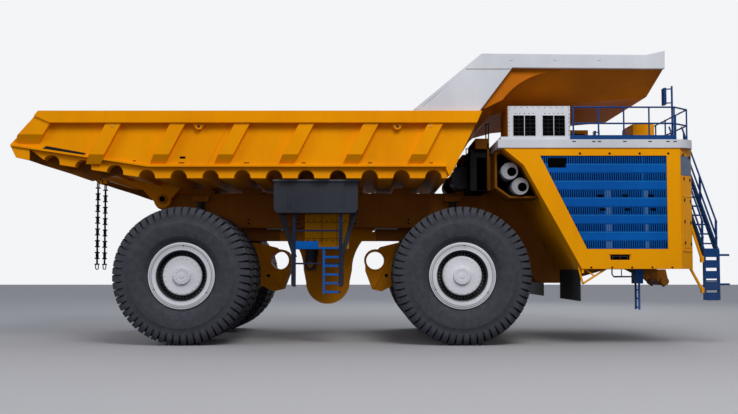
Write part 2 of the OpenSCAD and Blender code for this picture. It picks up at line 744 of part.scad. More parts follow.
// Upright steps at the right corner, then a flight that climbs across the front to the deck
module front_stair() {
    rise = deck_top - stair_z1;
    step = rise / tread_n;
    y0 = -stair_y;
    y1 = y0 + 150 + rise;       // top of the flight
    color(navy) {
        for (x = [stair_x0, stair_x0 + stair_w]) {
            span([x - 25, y0, stair_z0], [x + 25, y0 + 150, stair_z1 + 60]);
            plate_x(x - 25, x + 25) polygon([[y0, stair_z1 - 60], [y0 + 150, stair_z1 - 60], [y0 + 230, stair_z1 - 60],
                [y1 + 80, deck_top], [y1 - 150, deck_top], [y0, stair_z1 + 60]]);
            for (h = [450, 900]) bar([x, y0 + 150, stair_z1 + h], [x, y1, deck_top + h], tube_r);
            for (i = [0.2, 5, tread_n - 0.8]) bar([x, y0 + 150 + i * step, stair_z1 + i * step - 20],
                [x, y0 + 150 + i * step, stair_z1 + i * step + 900], tube_r + 7);
        }
        for (z = [stair_z0 + 30:250:stair_z1 - 200]) span([stair_x0, y0 + 10, z], [stair_x0 + stair_w, y0 + 230, z + 40]);
        for (i = [0:tread_n - 1]) let (y = y0 + 100 + i * step, z = stair_z1 + i * step)
            span([stair_x0, y, z - 20], [stair_x0 + stair_w, y + 230, z + 20]);
        // Landing that joins the deck's edge
        span([nose_x + seat, y1 - 100, deck_top - 60], [stair_x0 + stair_w + 25, y1 + 900, deck_top]);
        // Grab brackets at the foot
        for (z = [1700, 2540]) span([stair_x0 + stair_w, y0, z], [half_l, y0 + 60, z + 60]);
    }
}

module service_ladder() {
    x = nose_x - 1520;
    y = -side_out + 700;
    color(navy) {
        for (off = [0, 400]) span([x, y + off - 25, 1000], [x + 50, y + off + 25, panel_z0]);
        for (z = [1050:250:1600]) span([x + 10, y, z], [x + 40, y + 400, z + 40]);
        span([x - 80, y - 60, 1750], [x + 130, y + 460, panel_z0]);
    }
}

// Dump body

tail_x = -half_l;
kink_x = -6350;          // where the floor turns up to the tail
tail_z = 5660;           // underside of the tail lip
bed_front_x = 2240;      // foot of the front wall
tail_slope = (tail_z - bed_floor) / (kink_x - tail_x);
beam_depth = bed_floor - beam_z0;
lip_x = tail_x + 560;    // where the tail's lip ends

// Underside of the floor plate at an X
function floor_z(x) = bed_floor + max(0, kink_x - x) * tail_slope;

module bed_floor_plate() {
    color(orange) {
        plate_y(-wall_out + wall_t, wall_out - wall_t) polygon([[tail_x, tail_z], [kink_x, bed_floor],
            [bed_front_x + 180, bed_floor], [bed_front_x + 180, bed_floor + floor_t], [kink_x, bed_floor + floor_t],
            [tail_x + 30, tail_z + floor_t]]);
    }
}

// The floor beams from the side: one band under the floor with round gaps, level and then up the tail
module beam_outline() {
    n = floor((bed_front_x - lip_x) / beam_pitch) - 1;
    difference() {
        polygon([[lip_x, floor_z(lip_x) - seat], [kink_x, bed_floor], [bed_front_x, bed_floor], [bed_front_x - 60, beam_z0],
            [kink_x - 60, beam_z0], [lip_x + 500, floor_z(lip_x + 500) - beam_depth]]);
        for (i = [0:n]) let (x = bed_front_x - 460 - i * beam_pitch)
            translate([x, floor_z(x) - beam_depth]) circle(r = beam_gap_r);
    }
}

module bed_beams() {
    color(orange) {
        difference() {
            plate_y(-wall_out + 100, wall_out - 100) beam_outline();
            // Room for the hoists' eyes
            pair() span([hoist_x1 - 330, hoist_y - 190, beam_z0 - cut], [hoist_x1 + 330, hoist_y + 190, bed_floor]);
            // Room for the heads of the tail chains
            pair() span([chain_x - 160, chain_y - 40, chain_top - 400], [chain_x + 160, chain_y + 40, chain_top + 130]);
            // Room over the hinge
            span([hinge_x - 400, -1020, beam_z0 - cut], [hinge_x + 400, 1020, beam_z0 + 60]);
        }
        // Spines under the tail that run down to the hinge
        pair() plate_y(1030, 1300) difference() {
            spine_x = tail_x + 1170;
            union() {
                polygon([[spine_x, floor_z(spine_x) - 60], [spine_x, floor_z(spine_x) - 180],
                    [hinge_x - 620, beam_z0 - 80], [hinge_x - 380, hinge_z + 40], [hinge_x - 260, hinge_z - 80],
                    [hinge_x + 260, hinge_z], [hinge_x + 600, beam_z0 + 10], [hinge_x + 600, bed_floor - 60],
                    [kink_x, bed_floor - 60]]);
                translate([hinge_x, hinge_z]) circle(r = 280);
            }
            translate([hinge_x, hinge_z]) circle(r = hinge_r + fit);
        }
        // Cheeks and pins that the tail chains hang on
        pair() translate([chain_x, chain_y, 0]) {
            for (y = [-50, 26]) span([-70, y, chain_top - 70], [70, y + 24, floor_z(chain_x) - 20]);
            bar_y(0, chain_top, chain_pin_r, -40, 40);
        }
        // Ears either side of the hoists' top eyes
        pair() for (y = [hoist_y - 190, hoist_y + 130]) plate_y(y, y + 60) polygon([[hoist_x1 - 260, bed_floor],
            [hoist_x1 - 150, hoist_z1 - 60], [hoist_x1 + 150, hoist_z1 - 60], [hoist_x1 + 260, bed_floor]]);
    }
}

wall_rear_x = tail_x + 860;     // top rear corner of a side wall
wall_front_x = bed_front_x + 920;
rail_low = bed_top - 340;       // underside of the top rail

// Side outline of a side wall, down to the floor's line
module wall_outline() {
    polygon([[wall_rear_x, bed_top], [tail_x, tail_z + 40], [tail_x + 180, tail_z - 320], [lip_x, floor_z(lip_x) - 320],
        [lip_x, floor_z(lip_x)], [kink_x, bed_floor], [bed_front_x - 120, bed_floor], [bed_front_x, beam_z0 + 20],
        [wall_front_x, bed_top]]);
}

// A rib's section across the wall: full depth, with a sloping foot
module rib_section(low) {
    plate_x(tail_x, bed_front_x + 600) polygon([[wall_out - cut, low], [wall_out, low], [half_w - 60, low + 260],
        [half_w - 60, rail_low + cut], [wall_out - cut, rail_low + cut]]);
}

module bed_side() {
    rib_n = 6;
    first_rib = bed_front_x - 390 - (rib_n - 1) * rib_pitch;
    rib_low = bed_floor + 90;
    lean = 0.53;        // how far a rib leans back for each unit of height
    color(orange) {
        difference() {
            plate_y(wall_out - wall_t, wall_out) wall_outline();
            // Slot between the wall and the tail's floor
            plate_y(wall_out - wall_t - cut, wall_out + cut) polygon([[tail_x + 1050, floor_z(tail_x + 1050) + 75],
                [tail_x + 1300, floor_z(tail_x + 1300) + 140], [tail_x + 2150, floor_z(tail_x + 2150) + 120],
                [tail_x + 2050, floor_z(tail_x + 2050) + 75]]);
        }
        // Edge strip along the foot of the wall
        for (run = [[tail_x + 40, kink_x], [kink_x, bed_front_x - 100]])
            plate_y(wall_out - cut, wall_out + 70) polygon([[run[0], floor_z(run[0]) + 10], [run[1], floor_z(run[1]) + 10],
                [run[1], floor_z(run[1]) + 70], [run[0], floor_z(run[0]) + 70]]);
        // Top rail
        plate_y(wall_out - 200, half_w) polygon([[wall_rear_x, bed_top], [wall_rear_x - 120, bed_top - 140],
            [wall_rear_x + 330, rail_low], [2650, rail_low], [2650, bed_top]]);
        plate_y(wall_out - wall_t, half_w) polygon([[2600, rail_low], [wall_front_x - 160, rail_low],
            [wall_front_x - 10, bed_top], [2600, bed_top]]);
        for (i = [0:rib_n - 1]) let (x = first_rib + i * rib_pitch, foot = x - (rail_low - rib_low) * lean)
            intersection() {
                plate_y(wall_out - cut, half_w) polygon([[x - rib_w / 2, rail_low + cut], [x + rib_w / 2, rail_low + cut],
                    [foot + rib_w / 2, rib_low], [foot - rib_w / 2, rib_low]]);
                rib_section(rib_low);
            }
        // Slanting post along the rear edge
        intersection() {
            plate_y(wall_out - cut, half_w) polygon([[wall_rear_x - 110, bed_top - 140], [wall_rear_x + 330, rail_low],
                [tail_x + 840, tail_z + 60], [tail_x + 260, tail_z + 60], [tail_x + 240, tail_z + 270]]);
            rib_section(tail_z + 60);
        }
        // Lifting eyes under the top rail
        for (x = [first_rib + 2400, first_rib + 8050]) plate_y(wall_out - cut, wall_out + 130) difference() {
            polygon([[x - 200, rail_low + cut], [x + 200, rail_low + cut], [x + 60, rail_low - 190], [x - 60, rail_low - 190]]);
            translate([x, rail_low - 100]) circle(r = 45);
        }
    }
}

module bed_side_right() { mirror([0, 1, 0]) bed_side(); }
module bed_side_left() { bed_side(); }

// Centre line of the front wall and canopy: X, Z
canopy_line = [[bed_front_x + 200, 5130], [2680, 5560], [3110, 6260], [3610, 6820], [4300, 7010], [8370, 7390]];
// Outer line of the canopy's flank, matched point by point: X, Z
flank_line = [[bed_front_x + 200, 5130], [2480, 5560], [2860, 6260], [3080, 6750], [4030, 7900], [8370, 7880]];
trough_y = 2800;         // half width of the canopy's flat middle

module canopy() {
    n = len(canopy_line);
    color(orange) {
        plate_y(-trough_y, trough_y) polygon(concat(canopy_line,
            [for (i = [n - 1:-1:0]) canopy_line[i] + [i == n - 1 ? 0 : -canopy_t * 0.7, canopy_t]]));
        pair() flank_panel(canopy_line, flank_line, trough_y, wall_out - wall_t);
        // Curved gusset in the corner between the flank's slope and its level part
        pair() plate_y(wall_out - 30 - wall_t, wall_out - wall_t) difference() {
            polygon([flank_line[3], flank_line[4], [5400, 7890], [5400, 7800], [3260, 6760]]);
            translate([5400, 5800]) circle(r = 2030);
        }
    }
}

// A panel between two lines at y0 and y1, canopy_t thick
module flank_panel(a, b, y0, y1) {
    n = len(a);
    function up(i) = [i == n - 1 ? 0 : -canopy_t * 0.7, 0, canopy_t];
    low = [for (i = [0:n - 1]) each [[a[i].x, y0, a[i].y], [b[i].x, y1, b[i].y]]];
    high = [for (i = [0:n - 1]) each [[a[i].x, y0, a[i].y] + up(i), [b[i].x, y1, b[i].y] + up(i)]];
    m = 2 * n;
    faces = concat(
        [for (i = [0:n - 2]) let (k = 2 * i) each [[k + 3, k + 1, k], [k + 2, k + 3, k]]],
        [for (i = [0:n - 2]) let (k = 2 * i + m) each [[k + 1, k + 3, k], [k + 3, k + 2, k]]],
        [for (i = [0:n - 2]) let (k = 2 * i) each [[k + 2 + m, k + 2, k], [k + m, k + 2 + m, k]]],
        [for (i = [0:n - 2]) let (k = 2 * i + 1) each [[k + 2 + m, k + m, k], [k + 2, k + 2 + m, k]]],
        [[m + 1, m, 0], [1, m + 1, 0], [2 * m - 1, m - 1, m - 2], [2 * m - 2, 2 * m - 1, m - 2]]);
    polyhedron(concat(low, high), faces);
}

module canopy_sides() {
    color(white) pair() plate_y(wall_out, wall_out + 120) polygon([[1340, bed_top], [3170, 8310], [7850, 8270],
        [8380, 8390], [8370, 7870], [4030, 7900], [3080, bed_top]]);
}

// Hoists

hoist_x0 = -1900;        // lower pin
hoist_z0 = 2300;
hoist_x1 = -1600;        // upper eye
hoist_z1 = 4850;
hoist_pin_r = 90;
hoist_in = hoist_y - hoist_r - 15;      // outer face of the lug beside a barrel
hoist_len = norm([hoist_x1 - hoist_x0, hoist_z1 - hoist_z0]);
hoist_lean = atan2(hoist_x1 - hoist_x0, hoist_z1 - hoist_z0);
stage_r = hoist_r - 35;
rod_r = stage_r - 35;
eye_r = 125;             // round end of a rod

// Places a hoist that is drawn straight up from its lower pin
module at_hoist(side) { on_side(side) translate([hoist_x0, hoist_y, hoist_z0]) rotate([0, hoist_lean, 0]) children(); }

module hoist_barrel(side) {
    color(dark) at_hoist(side) difference() {
        union() {
            bar_y(0, 0, 170, -95, 95);
            cylinder(h = hoist_len - 300, r = hoist_r);
        }
        bar_y(0, 0, hoist_pin_r + fit, -200, 200);
        translate([0, 0, 210]) cylinder(h = hoist_len, r = stage_r + fit);
    }
}

module hoist_stage(side) {
    color(rim_grey) at_hoist(side) difference() {
        translate([0, 0, 220]) cylinder(h = hoist_len - 480, r = stage_r);
        translate([0, 0, 260]) cylinder(h = hoist_len, r = rod_r + fit);
    }
}

module hoist_rod(side) {
    color(rim_grey) at_hoist(side) {
        translate([0, 0, 270]) cylinder(h = hoist_len - 390, r = rod_r);
        difference() {
            bar_y(0, hoist_len, eye_r, -100, 100);
            bar_y(0, hoist_len, hoist_pin_r - 20, -120, 120);
        }
    }
}

// Chains under the tail

chain_x = tail_x + 1450;
chain_y = 480;
chain_top = 5080;        // the pin that a chain hangs on
chain_pin_r = 45;

module chains() {
    color("#202024") pair() translate([chain_x, chain_y, 0]) {
        difference() {
            bar_y(0, chain_top, 95, -20, 20);
            bar_y(0, chain_top, chain_pin_r + seat, -40, 40);
        }
        // Narrow links in turn along and across, with a cross bar between them
        for (i = [0:link_n - 1]) let (z = chain_top - 190 - i * link_pitch) {
            translate([0, 0, z]) rotate([0, 0, i % 2 * 90]) difference() {
                cube([64, 28, link_pitch + 22], center = true);
                cube([26, 60, link_pitch - 70], center = true);
            }
            translate([0, 0, z - link_pitch / 2]) cube([150, 40, 34], center = true);
        }
        translate([0, 0, chain_top - 190 - link_n * link_pitch + 20]) difference() {
            cube([130, 34, 200], center = true);
            cube([60, 60, 130], center = true);
        }
    }
}

frame();
keel();
bolsters();
struts();
tanks();
side_steps();
deck();
side_panels();
side_grilles();
bay_floor();
front_panel();
front_grille();
engines();
duct_housings();
air_ducts();
cabinet();
cab_shell();
cab_glass();
cab_seat();
cab_door();
handrails();
intake_box();
mirrors();
lamps();
mudflaps();
front_stair();
service_ladder();
front_axle();
rear_axle();
tyres(front_x, -1);  // tyres_front_right
tyres(front_x, 1);  // tyres_front_left
tyres(rear_x, -1);  // tyres_rear_right
tyres(rear_x, 1);  // tyres_rear_left
rim(front_x, -1);  // rim_front_right
rim(front_x, 1);  // rim_front_left
rim(rear_x, -1);  // rim_rear_right
rim(rear_x, 1);  // rim_rear_left
bed_floor_plate();
bed_beams();
bed_side_right();
bed_side_left();
canopy();
canopy_sides();
hoist_barrel(-1);  // hoist_barrel_right
hoist_stage(-1);  // hoist_stage_right
hoist_rod(-1);  // hoist_rod_right
hoist_barrel(1);  // hoist_barrel_left
hoist_stage(1);  // hoist_stage_left
hoist_rod(1);  // hoist_rod_left
chains();
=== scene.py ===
# Mining dump truck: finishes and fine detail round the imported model. Metres, front +X, left +Y, up +Z.
import math

import bmesh
import bpy
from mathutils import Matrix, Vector


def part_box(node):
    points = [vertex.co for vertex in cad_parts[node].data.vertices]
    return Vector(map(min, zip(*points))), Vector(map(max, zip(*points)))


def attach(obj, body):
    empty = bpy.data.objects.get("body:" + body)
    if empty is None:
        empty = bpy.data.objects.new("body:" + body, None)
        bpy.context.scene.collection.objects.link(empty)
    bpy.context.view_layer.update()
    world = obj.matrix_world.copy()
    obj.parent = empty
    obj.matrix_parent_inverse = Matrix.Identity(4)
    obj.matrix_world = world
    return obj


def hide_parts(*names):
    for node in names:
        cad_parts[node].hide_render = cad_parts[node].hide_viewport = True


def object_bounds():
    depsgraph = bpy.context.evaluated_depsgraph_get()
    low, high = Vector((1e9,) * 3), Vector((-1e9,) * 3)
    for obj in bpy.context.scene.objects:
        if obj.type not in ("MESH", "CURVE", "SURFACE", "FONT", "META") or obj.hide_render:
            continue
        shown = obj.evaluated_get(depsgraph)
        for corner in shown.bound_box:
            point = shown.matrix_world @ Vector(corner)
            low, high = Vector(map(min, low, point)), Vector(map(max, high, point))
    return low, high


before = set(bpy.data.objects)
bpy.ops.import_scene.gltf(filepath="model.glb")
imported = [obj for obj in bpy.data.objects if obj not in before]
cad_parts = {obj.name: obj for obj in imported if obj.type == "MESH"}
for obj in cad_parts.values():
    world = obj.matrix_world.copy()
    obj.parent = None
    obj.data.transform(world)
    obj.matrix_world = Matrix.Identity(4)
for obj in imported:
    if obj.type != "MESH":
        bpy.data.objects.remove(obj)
cad_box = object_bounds()

# Places that the frame gives

def middle_x(node):
    low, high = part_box(node)
    return (low[0] + high[0]) / 2


FRONT_X, REAR_X = middle_x("rim_front_right"), middle_x("rim_rear_right")
WHEEL_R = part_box("tyres_front_left")[1][2] / 2
DECK_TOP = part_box("deck")[1][2]
# Each wheel: name, X, side
WHEELS = (("front_right", FRONT_X, -1), ("front_left", FRONT_X, 1),
          ("rear_right", REAR_X, -1), ("rear_left", REAR_X, 1))


# Scene: camera and light

def put(name, data, place=(0, 0, 0), turn=(0, 0, 0)):
    """Sets a new object in the scene."""
    obj = bpy.data.objects.new(name, data)
    obj.location, obj.rotation_euler = place, turn
    bpy.context.collection.objects.link(obj)
    return obj


def make_camera():
    """The photograph's viewpoint: level with the wheels, square to the truck's right side."""
    pitch = math.radians(3.43)
    data = bpy.data.cameras.new("camera")
    data.lens = 51.27
    data.sensor_width = 36.0
    data.clip_end = 500.0
    bpy.context.scene.camera = put("camera", data, (-0.06, -34.5, 2.14), (math.radians(90) + pitch, 0, 0))


def area_light(name, place, target, size, power, colour=(1, 1, 1)):
    data = bpy.data.lights.new(name, "AREA")
    data.shape = "DISK"
    data.size = size
    data.energy = power
    data.color = colour
    put(name, data, place, (Vector(target) - Vector(place)).to_track_quat("-Z", "Y").to_euler())


def make_world():
    """Even overcast light; rays that see the sky directly find it almost white."""
    world = bpy.data.worlds.new("sky")
    bpy.context.scene.world = world
    world.use_nodes = True
    tree = world.node_tree
    tree.nodes.clear()
    out, light, seen, path, either, both, mix = (
        tree.nodes.new("ShaderNode" + kind)
        for kind in ("OutputWorld", "Background", "Background", "LightPath", "Math", "Math", "MixShader"))
    light.inputs["Color"].default_value = (0.80, 0.86, 1.0, 1)
    light.inputs["Strength"].default_value = 0.42
    seen.inputs["Color"].default_value = (0.90, 0.91, 0.93, 1)
    either.operation = both.operation = "MAXIMUM"
    for a, b in ((path.outputs["Is Camera Ray"], either.inputs[0]),
                 (path.outputs["Is Glossy Ray"], either.inputs[1]),
                 (either.outputs[0], both.inputs[0]), (path.outputs["Is Transmission Ray"], both.inputs[1]),
                 (both.outputs[0], mix.inputs["Fac"]), (light.outputs[0], mix.inputs[1]),
                 (seen.outputs[0], mix.inputs[2]), (mix.outputs[0], out.inputs["Surface"])):
        tree.links.new(a, b)


make_camera()
make_world()
area_light("key", (6, -26, 24), (0, 0, 3), 14, 5200, (1.0, 0.98, 0.95))
area_light("fill", (-24, -18, 14), (-2, 0, 3), 12, 1100, (0.95, 0.97, 1.0))
area_light("back", (10, 28, 22), (0, 0, 4), 16, 2100)
bpy.context.scene.view_settings.view_transform = "Standard"


# Materials, and the floor

class Shader:
    """A small wrapper that builds a node material."""

    def __init__(self, name, roughness=0.5, metallic=0.0, specular=0.5):
        self.mat = bpy.data.materials.new(name)
        self.mat.use_nodes = True
        self.tree = self.mat.node_tree
        self.bsdf = self.tree.nodes["Principled BSDF"]
        self.bsdf.inputs["Roughness"].default_value = roughness
        self.bsdf.inputs["Metallic"].default_value = metallic
        self.bsdf.inputs["Specular IOR Level"].default_value = specular
        self.place = self.node("ShaderNodeTexCoord").outputs["Object"]

    def node(self, kind, **sockets):
        made = self.tree.nodes.new(kind)
        for key, value in sockets.items():
            made.inputs[key.replace("_", " ")].default_value = value
        return made

    def link(self, a, b):
        self.tree.links.new(a, b)

    def noise(self, scale, detail=4.0, roughness=0.6, stretch=(1, 1, 1)):
        """Noise from 0 to 1 in the object's own space."""
        mapping = self.node("ShaderNodeMapping", Scale=stretch)
        self.link(self.place, mapping.inputs["Vector"])
        made = self.node("ShaderNodeTexNoise", Scale=scale, Detail=detail, Roughness=roughness)
        self.link(mapping.outputs[0], made.inputs["Vector"])
        return made.outputs["Fac"]

    def ramp(self, value, low, high, out_low=0.0, out_high=1.0):
        made = self.node("ShaderNodeMapRange", From_Min=low, From_Max=high, To_Min=out_low, To_Max=out_high)
        self.link(value, made.inputs["Value"])
        return made.outputs["Result"]

    def feed(self, node, **values):
        """Gives the node's numbered inputs a colour, a number or another node's output each."""
        for key, value in values.items():
            socket = node.inputs[int(key[1:])]
            if isinstance(value, tuple):
                socket.default_value = (*value, 1)
            elif isinstance(value, float):
                socket.default_value = value
            else:
                self.link(value, socket)

    def mix(self, fac, a, b):
        """Mixes two colours, each a tuple or a socket."""
        made = self.node("ShaderNodeMix")
        made.data_type = "RGBA"
        self.feed(made, _0=fac, _6=a, _7=b)
        return made.outputs[2]

    def times(self, a, b):
        made = self.node("ShaderNodeMath")
        made.operation = "MULTIPLY"
        self.feed(made, _0=a, _1=b)
        return made.outputs[0]

    def axis(self, index):
        made = self.node("ShaderNodeSeparateXYZ")
        self.link(self.place, made.inputs[0])
        return made.outputs[index]

    def colour(self, socket):
        self.link(socket, self.bsdf.inputs["Base Color"])

    def rough(self, socket):
        self.link(socket, self.bsdf.inputs["Roughness"])

    def bump(self, height, strength, distance, bevel=0.0):
        """Bump from a height, over softened edges where bevel is given."""
        made = self.node("ShaderNodeBump", Strength=strength, Distance=distance)
        self.link(height, made.inputs["Height"])
        if bevel:
            soft = self.node("ShaderNodeBevel", Radius=bevel)
            self.link(soft.outputs[0], made.inputs["Normal"])
        self.link(made.outputs[0], self.bsdf.inputs["Normal"])

    def edges(self, radius):
        """1 where an edge is near, from the difference between the true and the softened normal."""
        soft = self.node("ShaderNodeBevel", Radius=radius)
        flat = self.node("ShaderNodeNewGeometry")
        dot = self.node("ShaderNodeVectorMath")
        dot.operation = "DOT_PRODUCT"
        self.link(soft.outputs[0], dot.inputs[0])
        self.link(flat.outputs["Normal"], dot.inputs[1])
        return self.ramp(dot.outputs["Value"], 0.995, 0.90)


def paint(name, base, deep, roughness, specular, dust=(0.20, 0.16, 0.11), dust_top=1.2, dust_amount=0.35):
    """Sprayed machine paint: slow colour drift, run marks, dust low down, worn edges."""
    s = Shader(name, roughness, specular=specular)
    drift = s.ramp(s.noise(0.55, 3, 0.5), 0.35, 0.65)
    body = s.mix(drift, base, deep)
    streak = s.ramp(s.noise(3.0, 5, 0.65, (1.0, 1.0, 0.10)), 0.48, 0.75)
    body = s.mix(s.times(streak, 0.14), body, tuple(c * 0.62 for c in deep))
    low = s.ramp(s.axis(2), dust_top + 1.6, dust_top - 0.6)
    grime = s.times(low, s.ramp(s.noise(2.2, 6, 0.7), 0.35, 0.8, 0.2, 1.0))
    body = s.mix(s.times(grime, dust_amount), body, dust)
    chips = s.times(s.edges(0.02), s.ramp(s.noise(9.0, 6, 0.75), 0.56, 0.66))
    body = s.mix(s.times(chips, 0.55), body, (0.10, 0.07, 0.05))
    s.colour(body)
    s.rough(s.ramp(s.noise(6.0, 4, 0.6), 0.3, 0.7, roughness - 0.07, roughness + 0.12))
    s.bump(s.noise(28.0, 3, 0.5), 0.12, 0.004, 0.014)
    return s.mat


def rubber(name, base, light, roughness, specular):
    """Matt rubber with dry dust in its low spots."""
    scale = 6.0
    s = Shader(name, roughness, specular=specular)
    s.colour(s.mix(s.ramp(s.noise(scale, 5, 0.7), 0.35, 0.75), base, light))
    s.rough(s.ramp(s.noise(scale * 4, 4, 0.6), 0.3, 0.7, roughness - 0.08, roughness + 0.1))
    s.bump(s.noise(60.0, 4, 0.6), 0.25, 0.004, 0.01)
    return s.mat


def metal(name, base, roughness):
    s = Shader(name, roughness, metallic=1.0)
    s.colour(s.mix(s.ramp(s.noise(12.0, 4, 0.6, (1, 1, 8)), 0.3, 0.7), base, tuple(c * 0.8 for c in base)))
    s.rough(s.ramp(s.noise(20.0, 3, 0.6), 0.3, 0.7, roughness, roughness + 0.15))
    s.bump(s.noise(80.0, 3, 0.5), 0.08, 0.002, 0.006)
    return s.mat


def glass(name):
    s = Shader(name, 0.03, specular=0.6)
    s.bsdf.inputs["Base Color"].default_value = (0.10, 0.13, 0.15, 1)
    s.bsdf.inputs["Transmission Weight"].default_value = 0.85
    s.bsdf.inputs["IOR"].default_value = 1.45
    s.bump(s.noise(1.5, 2, 0.5), 0.02, 0.01)
    return s.mat


def cloth(name, base):
    s = Shader(name, 0.9, specular=0.2)
    s.bsdf.inputs["Sheen Weight"].default_value = 0.3
    s.colour(s.mix(s.ramp(s.noise(140.0, 2, 0.5), 0.4, 0.6), base, tuple(c * 1.6 for c in base)))
    s.bump(s.noise(260.0, 2, 0.5), 0.4, 0.002, 0.008)
    return s.mat


def make_floor():
    """A pale floor that looks lighter to the camera than the light it throws back at the truck."""
    half = 120.0
    mesh = bpy.data.meshes.new("floor")
    corners = [(-half, -half, 0), (half, -half, 0), (half, half, 0), (-half, half, 0)]
    mesh.from_pydata(corners, [], [(0, 1, 2, 3)])
    s = Shader("floor", 0.85)
    seen = s.node("ShaderNodeLightPath").outputs["Is Camera Ray"]
    s.colour(s.mix(seen, (0.13, 0.13, 0.14), (0.42, 0.42, 0.435)))
    mesh.materials.append(s.mat)
    put("floor", mesh)


# Base colour, deep colour, roughness, strength of reflection, and what else differs
PAINTS = {
    "bed": ((0.97, 0.360, 0.0008), (0.90, 0.310, 0.0008), 0.45, 0.03, dict(dust_top=4.0, dust_amount=0.10)),
    "body": ((0.98, 0.390, 0.0010), (0.93, 0.355, 0.0010), 0.36, 0.05, dict(dust_top=1.0, dust_amount=0.12)),
    # chassis: the body's yellow darkened to a brown, as painted shade under the truck
    "chassis": ((0.52, 0.170, 0.0030), (0.38, 0.115, 0.0030), 0.45, 0.12, dict(dust_top=2.2)),
    # shade_brown: the yellow darkened further, as painted shade on the duct housings, the bay's shelves and
    # the webs under the tail
    "shade_brown": ((0.24, 0.080, 0.004), (0.17, 0.055, 0.004), 0.5, 0.06, {}),
    # canopy: the yellow darkened, as painted shade on the canopy's shaded flank and underside
    "canopy": ((0.68, 0.190, 0.0030), (0.56, 0.150, 0.0030), 0.5, 0.05, dict(dust_amount=0.1)),
    "axle": ((0.95, 0.350, 0.0015), (0.80, 0.280, 0.0015), 0.45, 0.06, dict(dust_top=1.0, dust_amount=0.25)),
    "white": ((0.72, 0.73, 0.77), (0.62, 0.63, 0.67), 0.38, 0.22, dict(dust=(0.3, 0.28, 0.25))),
    "blue": ((0.0008, 0.115, 0.46), (0.0008, 0.090, 0.38), 0.40, 0.08, {}),
    "navy": ((0.006, 0.060, 0.22), (0.006, 0.045, 0.17), 0.38, 0.12, {}),
    "deep": ((0.006, 0.014, 0.045), (0.005, 0.010, 0.032), 0.45, 0.15, {}),
    # highlight_blue: lighter blue, a painted highlight along the top of the grille's plain bands
    "highlight_blue": ((0.010, 0.26, 0.72), (0.010, 0.22, 0.62), 0.40, 0.1, {}),
    "slate": ((0.10, 0.16, 0.25), (0.08, 0.13, 0.21), 0.40, 0.22, {}),
    "dark": ((0.034, 0.037, 0.050), (0.024, 0.026, 0.036), 0.45, 0.15, {}),
    "grey": ((0.40, 0.41, 0.44), (0.33, 0.34, 0.37), 0.40, 0.22, {}),
    "rim": ((0.84, 0.84, 0.88), (0.68, 0.68, 0.72), 0.38, 0.22, dict(dust_top=0.2)),
}
# Base colour, dusty colour, roughness, strength of reflection
RUBBERS = {
    "tyre": ((0.032, 0.033, 0.043), (0.060, 0.062, 0.078), 0.75, 0.35),
    "flap": ((0.016, 0.017, 0.021), (0.030, 0.031, 0.036), 0.75, 0.35),
    "black": ((0.004, 0.004, 0.005), (0.010, 0.010, 0.012), 0.7, 0.15),
    # void: near-black, used mostly as painted shade in holes, slots, recesses, windows and behind the grille
    # bars
    "void": ((0.0015, 0.0012, 0.0012), (0.003, 0.0025, 0.0025), 0.9, 0.03),
    "iron": ((0.003, 0.003, 0.004), (0.007, 0.006, 0.006), 0.65, 0.1),
}
MATS = {name: paint(name, *look, **more) for name, (*look, more) in PAINTS.items()}
MATS.update((name, rubber(name, *look)) for name, look in RUBBERS.items())
MATS["chrome"] = metal("chrome", (0.62, 0.63, 0.66), 0.15)
MATS["glass"] = glass("glass")
MATS["seat"] = cloth("seat", (0.018, 0.018, 0.022))

NODE_MATS = {
    "bed": ["bed_floor_plate", "bed_beams", "bed_side_right", "bed_side_left"],
    "canopy": ["canopy"],
    "body": ["side_panels", "front_panel", "cab_shell", "cab_door", "intake_box"],
    "chassis": ["frame", "bolsters", "bay_floor"],
    "shade_brown": ["duct_housings"],
    "axle": ["front_axle", "rear_axle", "keel"],
    "white": ["deck", "cabinet", "canopy_sides", "lamps"],
    "blue": ["side_grilles", "front_grille", "service_ladder"],
    "navy": ["handrails", "mirrors", "front_stair"],
    "deep": ["side_steps"],
    "dark": ["tanks", "engines", "struts", "hoist_barrel_right", "hoist_barrel_left"],
    "grey": ["air_ducts"],
    "rim": ["rim_" + name for name, _, _ in WHEELS],
    "tyre": ["tyres_" + name for name, _, _ in WHEELS],
    "flap": ["mudflaps"],
    "chrome": ["hoist_stage_right", "hoist_rod_right", "hoist_stage_left", "hoist_rod_left"],
    "iron": ["chains"],
    "glass": ["cab_glass"],
    "seat": ["cab_seat"],
}


def dress_nodes():
    for key, names in NODE_MATS.items():
        for name in names:
            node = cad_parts[name]
            node.data.materials.clear()
            node.data.materials.append(MATS[key])


dress_nodes()
make_floor()


# Shapes

def around(centre, r, angle, y):
    """The point at a radius and an angle about a Y axis through centre, and at an offset along it."""
    return (centre[0] + r * math.cos(angle), centre[1] + y, centre[2] + r * math.sin(angle))


